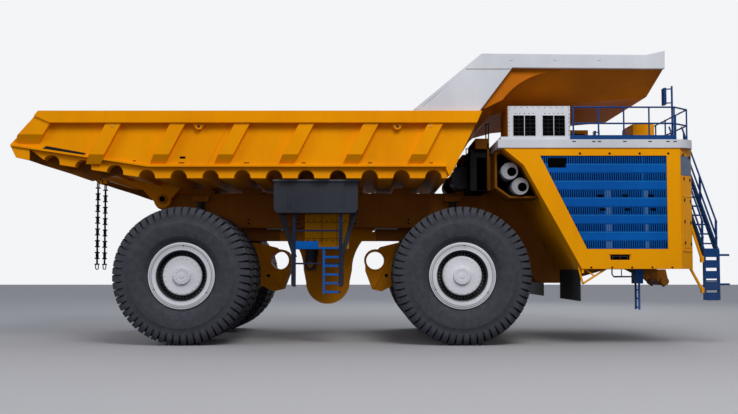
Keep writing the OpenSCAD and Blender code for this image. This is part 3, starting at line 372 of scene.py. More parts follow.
class Part:
    """One object, built from simple solids in the frame's coordinates, that rides on a body."""

    every = []

    def __init__(self, name, material, body="chassis", **finish):
        """finish holds what done() takes."""
        self.name, self.material, self.body, self.finish = name, material, body, finish
        self.bm = bmesh.new()
        self.every.append(self)

    def skin(self, rings, loop=False, closed=True):
        """Joins each ring of points to the next. loop joins the last to the first, else both are capped."""
        rows = [[self.bm.verts.new(p) for p in ring] for ring in rings]
        m, n = len(rows[0]), len(rows)
        if not loop:
            self.bm.faces.new(rows[0][::-1])
            self.bm.faces.new(rows[-1])
        for k in range(n if loop else n - 1):
            a, b = rows[k], rows[(k + 1) % n]
            for i in range(m if closed else m - 1):
                j = (i + 1) % m
                self.bm.faces.new((a[i], a[j], b[j], b[i]))

    def block(self, low, high):
        """A solid between four corners and four more."""
        corners = [self.bm.verts.new(p) for p in (*low, *high)]
        for face in ((0, 3, 2, 1), (4, 5, 6, 7), (0, 1, 5, 4), (1, 2, 6, 5), (2, 3, 7, 6), (3, 0, 4, 7)):
            self.bm.faces.new([corners[i] for i in face])

    def box(self, corner, other):
        (a, d), (b, e), (c, f) = (sorted(pair) for pair in zip(corner, other))
        self.block(*([(a, b, z), (d, b, z), (d, e, z), (a, e, z)] for z in (c, f)))

    def prism(self, outline, axis, lo, hi):
        """The outline, in the two other axes in their order, carried from lo to hi along the axis."""
        def at(u, v, w):
            point = [u, v]
            point.insert(axis, w)
            return point

        self.skin([[at(u, v, w) for u, v in outline] for w in (lo, hi)])

    def rod(self, a, b, r, sides=12):
        """A round bar from a to b, with flat ends."""
        a, b = Vector(a), Vector(b)
        turn = (b - a).to_track_quat("Z", "Y")
        ring = [turn @ Vector((r * math.cos(t), r * math.sin(t), 0))
                for t in (math.tau * i / sides for i in range(sides))]
        self.skin([[end + v for v in ring] for end in (a, b)])

    def tube(self, points, r, sides=10, closed=False):
        """A round bar along a line of points."""
        pts = [Vector(p) for p in points]
        n = len(pts)
        rings, side = [], None
        for i, p in enumerate(pts):
            before = pts[i - 1] if i or closed else p
            after = pts[(i + 1) % n] if i < n - 1 or closed else p
            way = (after - before).normalized()
            if side is None:
                side = way.orthogonal().normalized()
            side = (side - way * side.dot(way)).normalized()
            up = way.cross(side)
            leg = (p - before).normalized() if i or closed else way
            widen = 1 / max(0.5, leg.dot(way))
            rings.append([p + (side * math.cos(t) + up * math.sin(t)) * r * (1 + (widen - 1) * 0.5)
                          for t in (math.tau * k / sides for k in range(sides))])
        self.skin(rings, closed)

    def lathe(self, profile, centre, sides=96, sign=1, closed=True):
        """A profile of (radius, offset) turned about a Y axis through centre; sign flips the offsets."""
        self.skin([[around(centre, r, math.tau * k / sides, sign * y) for r, y in profile]
                   for k in range(sides)], True, closed)

    def collar(self, centre, r0, r1, y0, y1, sides, sign=1):
        """A flat ring about a Y axis, between two radii and two offsets."""
        self.lathe([(r0, y0), (r1, y0), (r1, y1), (r0, y1)], centre, sides, sign)

    def disc_bolts(self, centre, ring_r, y, count, r, h, sign, phase=0.0, sides=6):
        """Bolt heads in a ring about a Y axis; y is their seat."""
        for k in range(count):
            x, _, z = around(centre, ring_r, math.tau * k / count + phase, 0)
            self.rod((x, y - sign * 0.004, z), (x, y + sign * h, z), r, sides)

    def bolt(self, place, way, r=0.022, h=0.02):
        """A hexagon bolt head on a washer, sunk a little into what it holds."""
        p, w = Vector(place), Vector(way)
        self.rod(p - w * 0.004, p + w * h * 0.3, r * 1.45, 14)
        self.rod(p, p + w * h, r, 6)

    def done(self, bevel=0.0, smooth=35.0, segments=1, replaces=(), slot=None):
        """Makes the object, rounds its sharp edges and hands it to the frame."""
        bmesh.ops.remove_doubles(self.bm, verts=self.bm.verts, dist=1e-6)
        bmesh.ops.recalc_face_normals(self.bm, faces=self.bm.faces)
        mesh = bpy.data.meshes.new(self.name)
        self.bm.to_mesh(mesh)
        self.bm.free()
        mesh.shade_smooth()
        mesh.set_sharp_from_angle(angle=math.radians(smooth))
        mesh.materials.append(MATS[self.material])
        obj = put(self.name, mesh)
        if bevel:
            rounded = obj.modifiers.new("rounded edges", "BEVEL")
            rounded.width, rounded.segments = bevel, segments
            rounded.limit_method, rounded.angle_limit = "ANGLE", math.radians(35)
        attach(obj, self.body)
        if replaces:
            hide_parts(*replaces)


def arc(cx, cy, r, a0, a1, n):
    """Points on an arc, angles in degrees."""
    return [(cx + r * math.cos(math.radians(a0 + (a1 - a0) * i / n)),
             cy + r * math.sin(math.radians(a0 + (a1 - a0) * i / n))) for i in range(n + 1)]


# Tyres

TYRE_W = 1.47
BEAD_R, FLANGE_R, CASING_R = 0.86, 0.95, 1.85
LUGS = 56
OUTER_MID, INNER_MID = 3.965, 2.235


def tyre_profile():
    """Section of one tyre without its lugs, from bead to bead: radius and offset from its middle."""
    half = TYRE_W / 2
    wall = [(BEAD_R + 0.002, half - 0.222), (FLANGE_R + 0.006, half - 0.218), (1.000, half - 0.170),
            (1.030, half - 0.140), (1.055, half - 0.120), (1.065, half - 0.088), (1.110, half - 0.062),
            (1.122, half - 0.048), (1.180, half - 0.028), (1.290, half - 0.006), (1.400, half - 0.002),
            (1.412, half), (1.500, half - 0.002), (1.512, half - 0.010), (1.600, half - 0.016),
            (1.690, half - 0.030), (1.702, half - 0.044), (1.760, half - 0.062), (1.815, half - 0.100),
            (1.845, half - 0.160), (1.856, half - 0.300)]
    return wall + [(r, -y) for r, y in reversed(wall)]


def lug(part, centre, angle, sign, half):
    """A shoulder block: broad at the tread, running down over the shoulder to a narrow foot."""
    crown, foot = WHEEL_R, 1.60
    pitch = math.tau / LUGS
    outer, inner = half, half - 0.52
    # Each row: radius, offset along Y, half width as a share of the pitch
    rows = [(foot, outer - 0.030, 0.30), (1.74, outer - 0.004, 0.34), (1.84, outer - 0.030, 0.36),
            (crown - 0.055, outer - 0.080, 0.37), (crown - 0.012, outer - 0.125, 0.36),
            (crown, outer - 0.22, 0.345), (crown, inner, 0.30)]
    low = [(foot + 0.01, outer - 0.10, 0.30), (1.74, outer - 0.12, 0.38), (1.80, outer - 0.15, 0.40),
           (1.84, outer - 0.19, 0.41), (CASING_R, outer - 0.22, 0.41), (CASING_R, outer - 0.30, 0.40),
           (CASING_R, inner - 0.02, 0.34)]
    rings = []
    for (r, y, w), (r2, y2, w2) in zip(rows, low):
        lean = (outer - y) * 0.10
        rings.append([])
        for rr, yy, ww, s in ((r, y, w, -1), (r, y, w, 1), (r2, y2, w2, 1), (r2, y2, w2, -1)):
            t = angle + pitch * ww * s + lean * sign
            rings[-1].append(around(centre, rr, t, sign * yy))
    part.skin(rings)


def make_tyres():
    for name, x, side in WHEELS:
        body = "wheel_" + name
        part = Part("tyres_" + name + "_fine", "tyre", body, replaces=["tyres_" + name],
                    slot="tyre", smooth=30)
        for mid in (OUTER_MID, INNER_MID):
            centre = (x, side * mid, WHEEL_R)
            part.lathe(tyre_profile(), centre, 120)
            for k in range(LUGS):
                t = math.tau * k / LUGS - math.pi / 2
                lug(part, centre, t, 1, TYRE_W / 2)
                lug(part, centre, t + math.pi / LUGS, -1, TYRE_W / 2)
                middle_block(part, centre, t + math.pi / 2 / LUGS)


def middle_block(part, centre, angle):
    """A six-sided block in the middle of the tread, wider at its foot."""
    pitch = math.tau / LUGS
    outline = ((-0.30, -0.20), (0.02, -0.17), (0.30, -0.02), (0.30, 0.20), (-0.02, 0.17), (-0.30, 0.02))
    part.skin([[around(centre, r, angle + pitch * (u + math.copysign(grow, u)) * 1.2,
                       v + math.copysign(grow * 0.5, v)) for u, v in outline]
               for r, grow in ((WHEEL_R - 0.002, 0.0), (CASING_R, 0.03))])


make_tyres()


# Rims

def make_rims():
    """Bolts, grooves and the dark lining of the recess, on the outer side of each wheel."""
    out_y = OUTER_MID + 0.5153
    recess_y = OUTER_MID + 0.17
    for name, x, side in WHEELS:
        body = "wheel_" + name
        centre = (x, 0, WHEEL_R)
        hub = (x, side * (out_y + 0.02), WHEEL_R)
        ring = Part("rim_ring_" + name, "rim", body, slot="rim")
        for r, y, bead, n in ((0.942, 0.058, 0.010, 10), (0.740, 0.056, 0.009, 8), (0.820, 0.064, 0.006, 8)):
            ring.lathe(arc(r, out_y + y, bead, 0, 360, n)[:-1], centre, 96, side)
        ring.disc_bolts(centre, 0.50, side * (out_y - 0.062), 20, 0.017, 0.022, side)
        ring.disc_bolts(centre, 0.195, side * (out_y + 0.020), 12, 0.014, 0.016, side)
        ring.lathe([(0.0, 0.0), (0.075, 0.0), (0.070, 0.014), (0.0, 0.018)], hub, 32, side, closed=False)
        ring.lathe([(0.150, -0.002), (0.165, -0.002), (0.162, 0.008), (0.153, 0.008)], hub, 64, side)
        dark = Part("rim_recess_" + name, "dark", body)
        wall, hub_wall, lining = 0.6995, 0.5705, 0.003
        dark.lathe([(hub_wall, recess_y + 0.0005), (wall, recess_y + 0.0005), (wall, out_y + 0.030),
                    (wall - lining, out_y + 0.030), (wall - lining, recess_y + 0.004),
                    (hub_wall + lining, recess_y + 0.004), (hub_wall + lining, out_y - 0.118),
                    (hub_wall, out_y - 0.118)], centre, 96, side)
        dark.lathe([(0.696, out_y + 0.030), (0.728, out_y + 0.0445), (0.728, out_y + 0.0485),
                    (0.696, out_y + 0.0425)], centre, 96, side)
        dark.disc_bolts(centre, 0.860, side * (out_y + 0.070), 3, 0.020, 0.012, side, math.pi / 2 - 0.06, 14)
        dark.collar(centre, 0.899, 0.906, out_y + 0.070, out_y + 0.0795, 96, side)
        groove = Part("rim_groove_" + name, "grey", body)
        groove.disc_bolts(centre, 0.632, side * (recess_y + 0.003), 40, 0.017, 0.045, side)
        groove.lathe([(0.845, out_y + 0.0690), (0.875, out_y + 0.0755), (0.875, out_y + 0.0785),
                      (0.845, out_y + 0.0722)], centre, 96, side)


make_rims()


# Front end: grilles, panels, cabinet, rails

GRILLE_TOP, GRILLE_LOW, GRILLE_FRONT, GRILLE_FOOT = 5.37, 2.73, 8.36, 6.08
GRILLE_LEAN = 1.30 / (GRILLE_TOP - GRILLE_LOW)
GRILLE_BACK_Y = 4.853


def grille_edge(z):
    """X of the grille's slanted rear edge at a height."""
    return GRILLE_FOOT - (z - GRILLE_LOW) * GRILLE_LEAN


def grille_band(z0, z1):
    """The grille's outline between two heights."""
    return [(grille_edge(z0), z0), (GRILLE_FRONT, z0), (GRILLE_FRONT, z1), (grille_edge(z1), z1)]


def grille_border(part, width, y0, y1):
    """A strip round both grilles, from y0 to y1."""
    corners = grille_band(GRILLE_LOW, GRILLE_TOP)
    for s in (-1, 1):
        for i in range(4):
            flat_bar(part, corners[i], corners[(i + 1) % 4], width, s, y0, y1)


def make_side_grilles():
    bands, pitch, bar, strip = 11, 0.062, 0.030, 0.022
    step = (GRILLE_TOP - GRILLE_LOW) / bands
    front, low, top = GRILLE_FRONT - 0.005, GRILLE_LOW + 0.005, GRILLE_TOP - 0.005
    part = Part("side_grilles_fine", "blue", bevel=0.004, replaces=["side_grilles"], slot="grille_paint")
    dark = Part("side_grille_shade_backs", "void", bevel=0.004)
    shine = Part("side_grille_highlights", "highlight_blue")
    splits = Part("side_grille_splits", "slate")
    edging = Part("side_grille_edging", "black")
    for s in (-1, 1):
        back = s * GRILLE_BACK_Y
        # Near-black sheet behind the bars, as painted shade inside the grille
        dark.prism([(grille_edge(GRILLE_TOP) + 0.01, top), (front, top), (front, low),
                    (grille_edge(GRILLE_LOW) + 0.01, low)], 1, s * 4.846, s * 4.852)
        for i in range(bands):
            z0, z1 = GRILLE_LOW + i * step, GRILLE_LOW + (i + 1) * step
            if i % 2:
                inset = zip(grille_band(z0, z1), (0.004, 0.004, -0.004, -0.004))
                part.prism([(x, z + gap) for (x, z), gap in inset], 1, back, s * 4.892)
                # A lighter blue strip along the top of each plain band, as a painted highlight
                highlight_low, highlight_high = z1 - 0.020, z1 - 0.005
                shine.prism([(grille_edge(z1 - 0.016), highlight_low), (GRILLE_FRONT, highlight_low),
                             (GRILLE_FRONT, highlight_high), (grille_edge(highlight_high), highlight_high)],
                            1, s * 4.885, s * 4.8945)
                continue
            for z in (z0, z1 - strip):
                part.prism(grille_band(z, z + strip), 1, back, s * 4.886)
            x = grille_edge(z0) + 0.5 * pitch - 0.13
            while x < GRILLE_FRONT - 0.02:
                foot = max(z0 + 0.02, GRILLE_LOW + (GRILLE_FOOT - x) / GRILLE_LEAN)
                if foot < z1 - 0.05:
                    part.box((x, back, foot), (x + bar, s * 4.882, z1 - 0.02))
                x += pitch
        # The two upright splits of the doors, and the slate strips that show behind the bars
        for x in (6.61, 7.68):
            part.box((x - 0.012, s * 4.85, GRILLE_LOW), (x + 0.012, s * 4.888, GRILLE_TOP))
        for x0, x1 in ((6.60, 6.79), (7.72, 7.83)):
            splits.box((x0, s * 4.855, GRILLE_LOW + 0.01), (x1, s * 4.8785, GRILLE_TOP - 0.85))
        # Dark hatch near the rear upper corner, and the pull handles
        dark.box((5.00, s * 4.85, 5.03), (5.51, s * 4.897, 5.31))
        for x, z in ((6.39, 4.24), (7.09, 4.24), (7.82, 4.24), (6.45, 3.85), (7.15, 3.85), (7.88, 3.85)):
            dark.box((x, s * 4.88, z - 0.03), (x + 0.17, s * 4.898, z + 0.03))
    grille_border(part, 0.035, GRILLE_BACK_Y, 4.889)
    grille_border(edging, 0.020, 4.885, 4.8955)


def flat_bar(part, a, b, width, sign, y0, y1):
    """A flat strip on the side, from a to b in X and Z."""
    (ax, az), (bx, bz) = a, b
    length = math.hypot(bx - ax, bz - az)
    nx, nz = -(bz - az) / length * width / 2, (bx - ax) / length * width / 2
    part.prism([(ax - nx, az - nz), (bx - nx, bz - nz), (bx + nx, bz + nz), (ax + nx, az + nz)], 1,
               sign * y0, sign * y1)


def make_side_panel_details():
    bolts = Part("side_panel_bolts", "black")
    for s in (-1, 1):
        for z, r, places in ((5.43, 0.035, (5.91, 6.75, 7.60, 8.41)),
                             (2.21, 0.030, (6.19, 6.78, 7.34, 7.91, 8.47))):
            for x in places:
                bolts.rod((x, s * 4.895, z), (x, s * 4.9, z), r, 14)


make_side_grilles()
make_side_panel_details()


# Dump body: eyes, drain slots drawn as painted shade, seams and the tail's pads

BED_LOW, BED_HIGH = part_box("bed_side_right")
RIB_Y = -BED_LOW[1]
WALL_Y = RIB_Y - 0.245
RAIL_LOW = BED_HIGH[2] - 0.34
FLOOR_Z = 5.06
KINK_X = -6.35
TAIL_X, TAIL_Z = BED_LOW[0], 5.66
TAIL_SLOPE = (TAIL_Z - FLOOR_Z) / (KINK_X - TAIL_X)
FIRST_RIB = -7.30


def floor_z(x):
    """Underside of the floor plate at an X."""
    return FLOOR_Z + max(0.0, KINK_X - x) * TAIL_SLOPE


def make_bed_details():
    seams = Part("bed_seams", "bed", "dump_body", slot="bed_paint")
    pins = Part("bed_eye_pins", "grey", "dump_body")
    slots = Part("bed_drain_slot_shade", "void", "dump_body")
    pads = Part("tail_pads", "black", "dump_body", bevel=0.004)
    for s in (-1, 1):
        y = s * WALL_Y
        # Collar and light bush in each lifting eye, then in the two small eyes
        z = RAIL_LOW - 0.10
        for x in (FIRST_RIB + 2.40, FIRST_RIB + 8.05):
            seams.collar((x, s * (WALL_Y + 0.128), z), 0.046, 0.085, 0.0, 0.018, 28, s)
            pins.rod((x, y, z), (x, s * (WALL_Y + 0.05), z), 0.044, 20)
        z = RAIL_LOW - 0.09
        for x in (-7.34, 1.70):
            seams.collar((x, s * (RIB_Y - 0.062), z), 0.020, 0.052, 0.0, 0.012, 24, s)
            pins.rod((x, s * (RIB_Y - 0.07), z), (x, s * (RIB_Y - 0.050), z), 0.022, 16)
        # Drain slots, drawn as thin near-black boxes on the wall: painted shade of the openings
        for x, half in ((-6.74, 0.04), (-5.40, 0.08), (-3.55, 0.07), (-1.92, 0.06), (-0.03, 0.06),
                        (1.71, 0.05)):
            z = floor_z(x) + 0.115
            slots.box((x - half, y, z), (x + half, y + s * 0.006, z + 0.022))
        slots.box((-5.45, y, FLOOR_Z + 0.25), (-5.29, y + s * 0.008, FLOOR_Z + 0.31))
        # Rubber pad over the tail's floor, in the slot of the wall
        pad = ((-9.38, 0.072), (-8.17, 0.072), (-8.13, 0.135), (-9.26, 0.168))
        pads.prism([(x, floor_z(x) + up) for x, up in pad], 1, s * (WALL_Y - 0.035), s * (WALL_Y + 0.010))
        # Weld beads along the rail's underside and the flange
        seams.rod((-9.1, y, RAIL_LOW - 0.004), (2.9, y, RAIL_LOW - 0.004), 0.014, 8)
        seams.rod((KINK_X, y, FLOOR_Z + 0.075), (2.1, y, FLOOR_Z + 0.075), 0.012, 8)
        # Plate joints of the wall
        for x in (-4.05, 0.30):
            seams.rod((x, y, RAIL_LOW), (x - 0.62, y, FLOOR_Z + 0.08), 0.007, 6)


make_bed_details()


# Middle: tongues, frame, tanks, steps and chains

def make_tongue_details():
    """Collars, ribs and bolt holes on the tongues of both axles; each hole is a thin black disc of painted
    shade.
    """
    for body, axle_x, way in (("rear_axle_body", REAR_X, 1), ("front_axle_body", FRONT_X, -1)):
        plates = Part("tongue_ribs_" + body[:-10], "axle", body, bevel=0.004, slot="frame_paint")
        holes = Part("tongue_hole_shade_" + body[:-10], "black", body)
        eye_x = axle_x + way * 2.46
        for s in (-1, 1):
            plates.lathe([(0.291, -0.004), (0.345, -0.004), (0.345, 0.016), (0.330, 0.024), (0.291, 0.024)],
                         (eye_x, s * 0.5, 2.45), 48, s)
            for (u0, z0), (u1, z1), width, y in (((1.76, 2.98), (2.50, 1.56), 0.055, 0.565),
                                                 ((2.72, 2.08), (2.52, 1.56), 0.035, 0.515)):
                flat_bar(plates, (axle_x + way * u0, z0), (axle_x + way * u1, z1), width, s, 0.496, y)
            hole = (axle_x + way * 2.10, 1.96)
            # The hole is a thin black disc, as painted shade
            holes.rod((hole[0], s * 0.498, hole[1]), (hole[0], s * 0.503, hole[1]), 0.055, 24)
            plates.collar((hole[0], s * 0.5, hole[1]), 0.056, 0.078, -0.004, 0.008, 24, s)


def make_frame_details():
    """Flanges, weld seams, shims and pipes along the rails."""
    seams = Part("frame_flanges", "chassis", bevel=0.004)
    pipes = Part("frame_pipes", "grey")
    bolts = Part("frame_bolts", "black")
    for x0, x1 in ((-4.38, -2.965), (0.165, 1.58)):
        seams.box((x0, -0.34, 3.378), (x1, 0.34, 3.4815))
    for s in (-1, 1):
        y0, y1 = s * 0.998, s * 1.022
        for z in (3.50, 4.545):
            seams.box((-6.05, y0, z - 0.018), (3.80, y1, z + 0.018))
        for x in (-4.62, -3.10, 0.30, 1.84):
            seams.box((x - 0.012, y0, 3.52), (x + 0.012, s * 1.006, 4.53))
        for x0, x1 in ((-3.32, -2.60), (0.12, 0.86)):
            pipes.rod((x0, s * 0.975, 3.452), (x1, s * 0.975, 3.452), 0.024, 12)
        for x in (-5.0, -3.9, -2.3, -0.5, 1.2, 2.3):
            for z in (3.62, 3.74):
                bolts.bolt((x, s * 1.0, z), (0, s, 0), 0.022, 0.016)


def make_tank_details():
    """The yellow skin of the hydraulic tank with its seams, and the painted highlight on the upper edge,
    straps and caps of the fuel tanks.
    """
    skin = Part("hydraulic_tank_skin", "body", bevel=0.012, segments=2, slot="body_paint")
    seams = Part("tank_seams", "black")
    top_highlight = Part("tank_edge_highlight", "grey")
    caps = Part("tank_caps", "dark", bevel=0.004)
    x0, x1, z0, z1 = -1.985, -0.675, 2.775, 3.899
    inner, outer, lid_z = 2.094, 3.006, 4.72
    for s in (-1, 1):
        skin.box((x0, s * inner, z0), (x1, s * outer, z1))
        y = s * outer
        for x in (-1.47, -1.02):
            seams.box((x - 0.008, y, z0), (x + 0.008, y + s * 0.003, z1))
        for z in (3.08, 3.56):
            seams.box((x0, y, z - 0.006), (x1, y + s * 0.003, z + 0.006))
        for k in range(7):
            for z in (3.03, 3.61):
                seams.bolt((x0 + 0.10 + 0.185 * k, y, z), (0, s, 0), 0.014, 0.012)
        # Light grey strip on the tank's upper edge, a painted highlight; straps and filler caps
        top_highlight.box((-2.83, s * 4.379, 4.712), (-0.35, s * 4.384, 4.729))
        for x in (-2.36, -0.82):
            caps.box((x - 0.045, s * 4.349, 3.93), (x + 0.045, s * 4.358, 4.668))
        for x, low, high, r, sides in ((-2.1, 0.0, 0.07, 0.11, 28), (-2.1, 0.06, 0.09, 0.13, 8),
                                       (-1.0, 0.0, 0.08, 0.05, 16)):
            caps.rod((x, s * 3.9, lid_z + low), (x, s * 3.9, lid_z + high), r, sides)


def make_step_details():
    """Blue treads and ladder of the side steps, with their small fittings."""
    blue = Part("step_treads_blue", "blue", bevel=0.003)
    dark = Part("step_fittings", "black")
    for s in (-1, 1):
        y = s * 4.220
        rung_y = s * 4.213
        blue.box((-2.18, y, 2.742), (-0.92, y + s * 0.005, 2.798))
        blue.box((-2.18, y, 2.800), (-1.52, y + s * 0.005, 2.968))
        for k in range(5):
            z = 1.48 + 0.25 * k
            blue.box((-1.33, s * 4.11, z - 0.003), (-0.932, rung_y, z + 0.063))
        blue.box((-1.393, s * 4.118, 1.452), (-1.327, rung_y, 2.742))
        for k in range(12):
            x = -2.12 + 0.105 * k
            dark.box((x, s * 3.72, 2.7995), (x + 0.04, s * 4.20, 2.8035))
        # Hoses down the step's posts, each with three clips
        for x in (-2.22, -0.88):
            dark.tube([(x, s * 4.08, 3.77), (x + 0.03, s * 4.05, 3.45), (x + 0.02, s * 4.04, 3.0),
                       (x - 0.02, s * 4.05, 2.5), (x, s * 4.09, 2.1)], 0.030, 10)
            for z in (3.4, 2.9, 2.4):
                dark.box((x - 0.045, s * 4.03, z), (x + 0.05, s * 4.105, z + 0.04))


def make_chains():
    """Round links in place of the plain ones, with cross bars and an end link."""
    part = Part("chains_fine", "iron", "tail_chains", replaces=["chains"], slot="chain")
    x, top, pitch, count = cad_box[0][0] + 1.45, 5.08, 0.19, 14
    for s in (-1, 1):
        y = s * 0.48
        part.collar((x, y, top), 0.046, 0.095, -0.019, 0.019, 28)
        # The first link is thinner, so that it clears its lug when the body is up
        for i in range(count):
            z = top - 0.19 - i * pitch
            line = []
            for cz, start in ((z + 0.064, 0), (z - 0.064, 180)):
                for u, w in arc(0.0, 0.0, 0.024, start, start + 180, 6):
                    line.append((x + u, y, cz + w) if i % 2 == 0 else (x, y + u, cz + w))
            part.tube(line, 0.020 if i == 0 else 0.026, 8, closed=True)
            part.rod((x - 0.078, y, z - pitch / 2), (x + 0.078, y, z - pitch / 2), 0.022, 10)
        z = top - 0.19 - count * pitch + 0.02
        line = [(x + u, y, z + 0.043 + w) for u, w in arc(0, 0, 0.046, 0, 180, 8)]
        line += [(x + u, y, z - 0.043 + w) for u, w in arc(0, 0, 0.046, 180, 360, 8)]
        part.tube(line, 0.0165, 8, closed=True)


make_tongue_details()
make_frame_details()
make_tank_details()
make_step_details()
make_chains()


# Nose: corner doors, duct cans, cabinet, stair foot and what hangs under the panels

CORNER = (Vector((8.74, 4.90, 0)), Vector((9.20, 4.40, 0)))


def corner_plate(part, sign, u0, u1, z0, z1, low, high):
    """A plate on the slanted corner panel, from low to high off its face; u runs along it from the side."""
    a, b = CORNER
    along = b - a
    out = Vector((-along.y, along.x, 0)).normalized()
    rings = [[a + along * u + out * h for u in (u0, u1, u1, u0)] for h in (low, high)]
    part.block(*([(p.x, sign * p.y, z) for p, z in zip(ring, (z0, z0, z1, z1))] for ring in rings))


def make_corner_doors():
    doors = Part("corner_doors", "body", bevel=0.003, slot="body_paint")
    pane = Part("corner_blue_plates", "slate", bevel=0.003)
    hinges = Part("corner_hinges", "black", bevel=0.003)
    for s in (-1, 1):
        corner_plate(pane, s, 0.05, 0.95, 4.82, 5.38, -0.004, 0.006)
        corner_plate(doors, s, 0.20, 0.93, 4.25, 4.80, -0.004, 0.010)
        corner_plate(doors, s, 0.22, 0.93, 2.76, 4.21, -0.004, 0.010)
        # Raised frame round the lower door
        for u0, u1, z0, z1 in ((0.16, 0.20, 2.66, 4.80), (0.16, 0.96, 4.205, 4.255),
                               (0.16, 0.96, 2.66, 2.70)):
            corner_plate(doors, s, u0, u1, z0, z1, -0.004, 0.018)
        for u, z in ((0.24, 5.40), (0.83, 5.36), (0.29, 4.73), (0.83, 4.71), (0.31, 4.12), (0.85, 4.10),
                     (0.31, 3.51), (0.85, 3.49), (0.32, 2.91), (0.85, 2.88)):
            corner_plate(hinges, s, u - 0.045, u + 0.045, z - 0.045, z + 0.045, 0.004, 0.022)


def make_duct_shade_and_rims():
    """Black sheets of painted shade inside the duct housings and in the mouths of the cans, and the cans'
    rolled rims.
    """
    shade_layer = Part("duct_painted_shade", "void")
    shine = Part("duct_rims", "grey", bevel=0.002)
    outline = [(3.623, 5.436), (3.623, 4.533), (4.002, 4.264), (4.718, 4.264), (4.268, 5.078), (3.735, 5.494)]
    n = len(outline)
    middle = sum((Vector(p) for p in outline), Vector((0, 0))) / n
    inner = [tuple(middle + (Vector(p) - middle) * 0.992) for p in outline]
    can_r, hole_r = 0.240, 0.130
    for s in (-1, 1):
        shade_layer.prism(outline, 1, s * 3.402, s * 3.408)
        for i in range(n):
            j = (i + 1) % n
            shade_layer.prism([outline[i], outline[j], inner[j], inner[i]], 1, s * 3.405, s * 4.375)
        for x, z in ((3.970, 4.970), (4.270, 4.530)):
            hole = (x + 0.06, s * 4.49, z - 0.02)
            shade_layer.collar(hole, hole_r - 0.004, hole_r, 0.0, -0.47, 40, s)
            shade_layer.rod((hole[0], s * 4.02, hole[2]), (hole[0], s * 4.03, hole[2]), hole_r - 0.002, 40)
            rim = ((-0.034, 0.0), (0.003, 0.0), (0.003, 0.014), (-0.010, 0.020), (-0.026, 0.014))
            shine.lathe([(can_r + r, y) for r, y in rim], (x, s * 4.4985, z), 48, s)
            swage = ((-0.001, -0.012), (0.006, -0.006), (0.006, 0.006), (-0.001, 0.012))
            for k in range(3):
                shine.lathe([(can_r + r, y) for r, y in swage], (x, s * (4.05 + 0.14 * k), z), 48, s)


def frame_boxes(part, axis, depth, low, high, width):
    """Four flat bars round an opening, in the two axes other than the given one."""
    (u0, v0), (u1, v1) = low, high
    for a, b in (((u0 - width, v0 - width), (u1 + width, v0)), ((u0 - width, v1), (u1 + width, v1 + width)),
                 ((u0 - width, v0), (u0, v1)), ((u1, v0), (u1 + width, v1))):
        corners = [list(a), list(b)]
        for corner, w in zip(corners, depth):
            corner.insert(axis, w)
        part.box(*corners)


def make_cabinet_details():
    """The cabinet's two barred windows with near-black panes of painted shade, its bolts and the screen on
    its rear end.
    """
    bars = Part("cabinet_window_bars", "white", bevel=0.002, slot="white_paint")
    panes = Part("cabinet_window_pane_shade", "void")
    grid = Part("cabinet_window_grids", "dark")
    bolts = Part("cabinet_bolts", "dark")
    z0, z1 = 5.97, 6.56
    face = -4.60
    for x0, x1 in ((4.07, 4.71), (4.91, 5.55)):
        panes.box((x0, face - 0.003, z0), (x1, face + 0.055, z1))
        bars.box((x0, face - 0.001, z1), (x1, face + 0.055, z1 + 0.045))
        frame_boxes(bars, 1, (face - 0.010, face + 0.02), (x0, z0), (x1, z1), 0.02)
        mid = (x0 + x1) / 2
        bars.box((mid - 0.010, face - 0.008, z0), (mid + 0.010, face, z1))
        for k in (1, 2, 3, 4):
            z = z0 + (z1 - z0) * k / 5
            grid.box((x0, face - 0.006, z - 0.004), (x1, face, z + 0.004))
        for side in (0.25, 0.75):
            x = x0 + (x1 - x0) * side
            grid.box((x - 0.004, face - 0.006, z0), (x + 0.004, face, z1))
        for k in range(5):
            for z in (z0 - 0.06, z1 + 0.055):
                bolts.bolt((x0 + (x1 - x0) * (k + 0.5) / 5, face, z), (0, -1, 0), 0.010, 0.008)
    for k in range(11):
        bolts.bolt((3.97 + 0.168 * k, face, 6.79), (0, -1, 0), 0.009, 0.008)
    for k in range(7):
        for x in (3.95, 5.67):
            bolts.bolt((x, face, 6.00 + 0.12 * k), (0, -1, 0), 0.009, 0.008)
    screen = Part("cabinet_rear_screen", "chassis", bevel=0.002)
    screen.box((3.908, -4.59, 5.96), (3.921, -3.02, 6.82))
    for k in range(12):
        screen.box((3.900, -4.58 + 0.13 * k, 5.97), (3.910, -4.54 + 0.13 * k, 6.81))


def make_deck_details():
    """Thin rails behind the bay."""
    rails = Part("bay_rails", "dark")
    for s in (-1, 1):
        for x in (3.44, 3.52):
            rails.rod((x, s * 3.20, 6.03), (x, s * 3.20, 6.52), 0.018, 10)
        rails.rod((3.42, s * 3.20, 6.50), (3.54, s * 3.20, 6.50), 0.018, 10)


RAIL_R, RAIL_HEIGHTS = 0.024, (0.465, 0.930)


def rail_run(part, a, b, bays):
    """Posts on square feet, a top rail and a middle rail, from a to b on the deck."""
    a, b = Vector(a), Vector(b)
    for h in RAIL_HEIGHTS:
        part.rod(a + Vector((0, 0, h)), b + Vector((0, 0, h)), RAIL_R)
    for i in range(bays + 1):
        foot = a + (b - a) * i / bays
        part.rod(foot, foot + Vector((0, 0, 0.950)), RAIL_R)
        part.box(foot - Vector((0.055, 0.055, 0.001)), foot + Vector((0.055, 0.055, 0.014)))


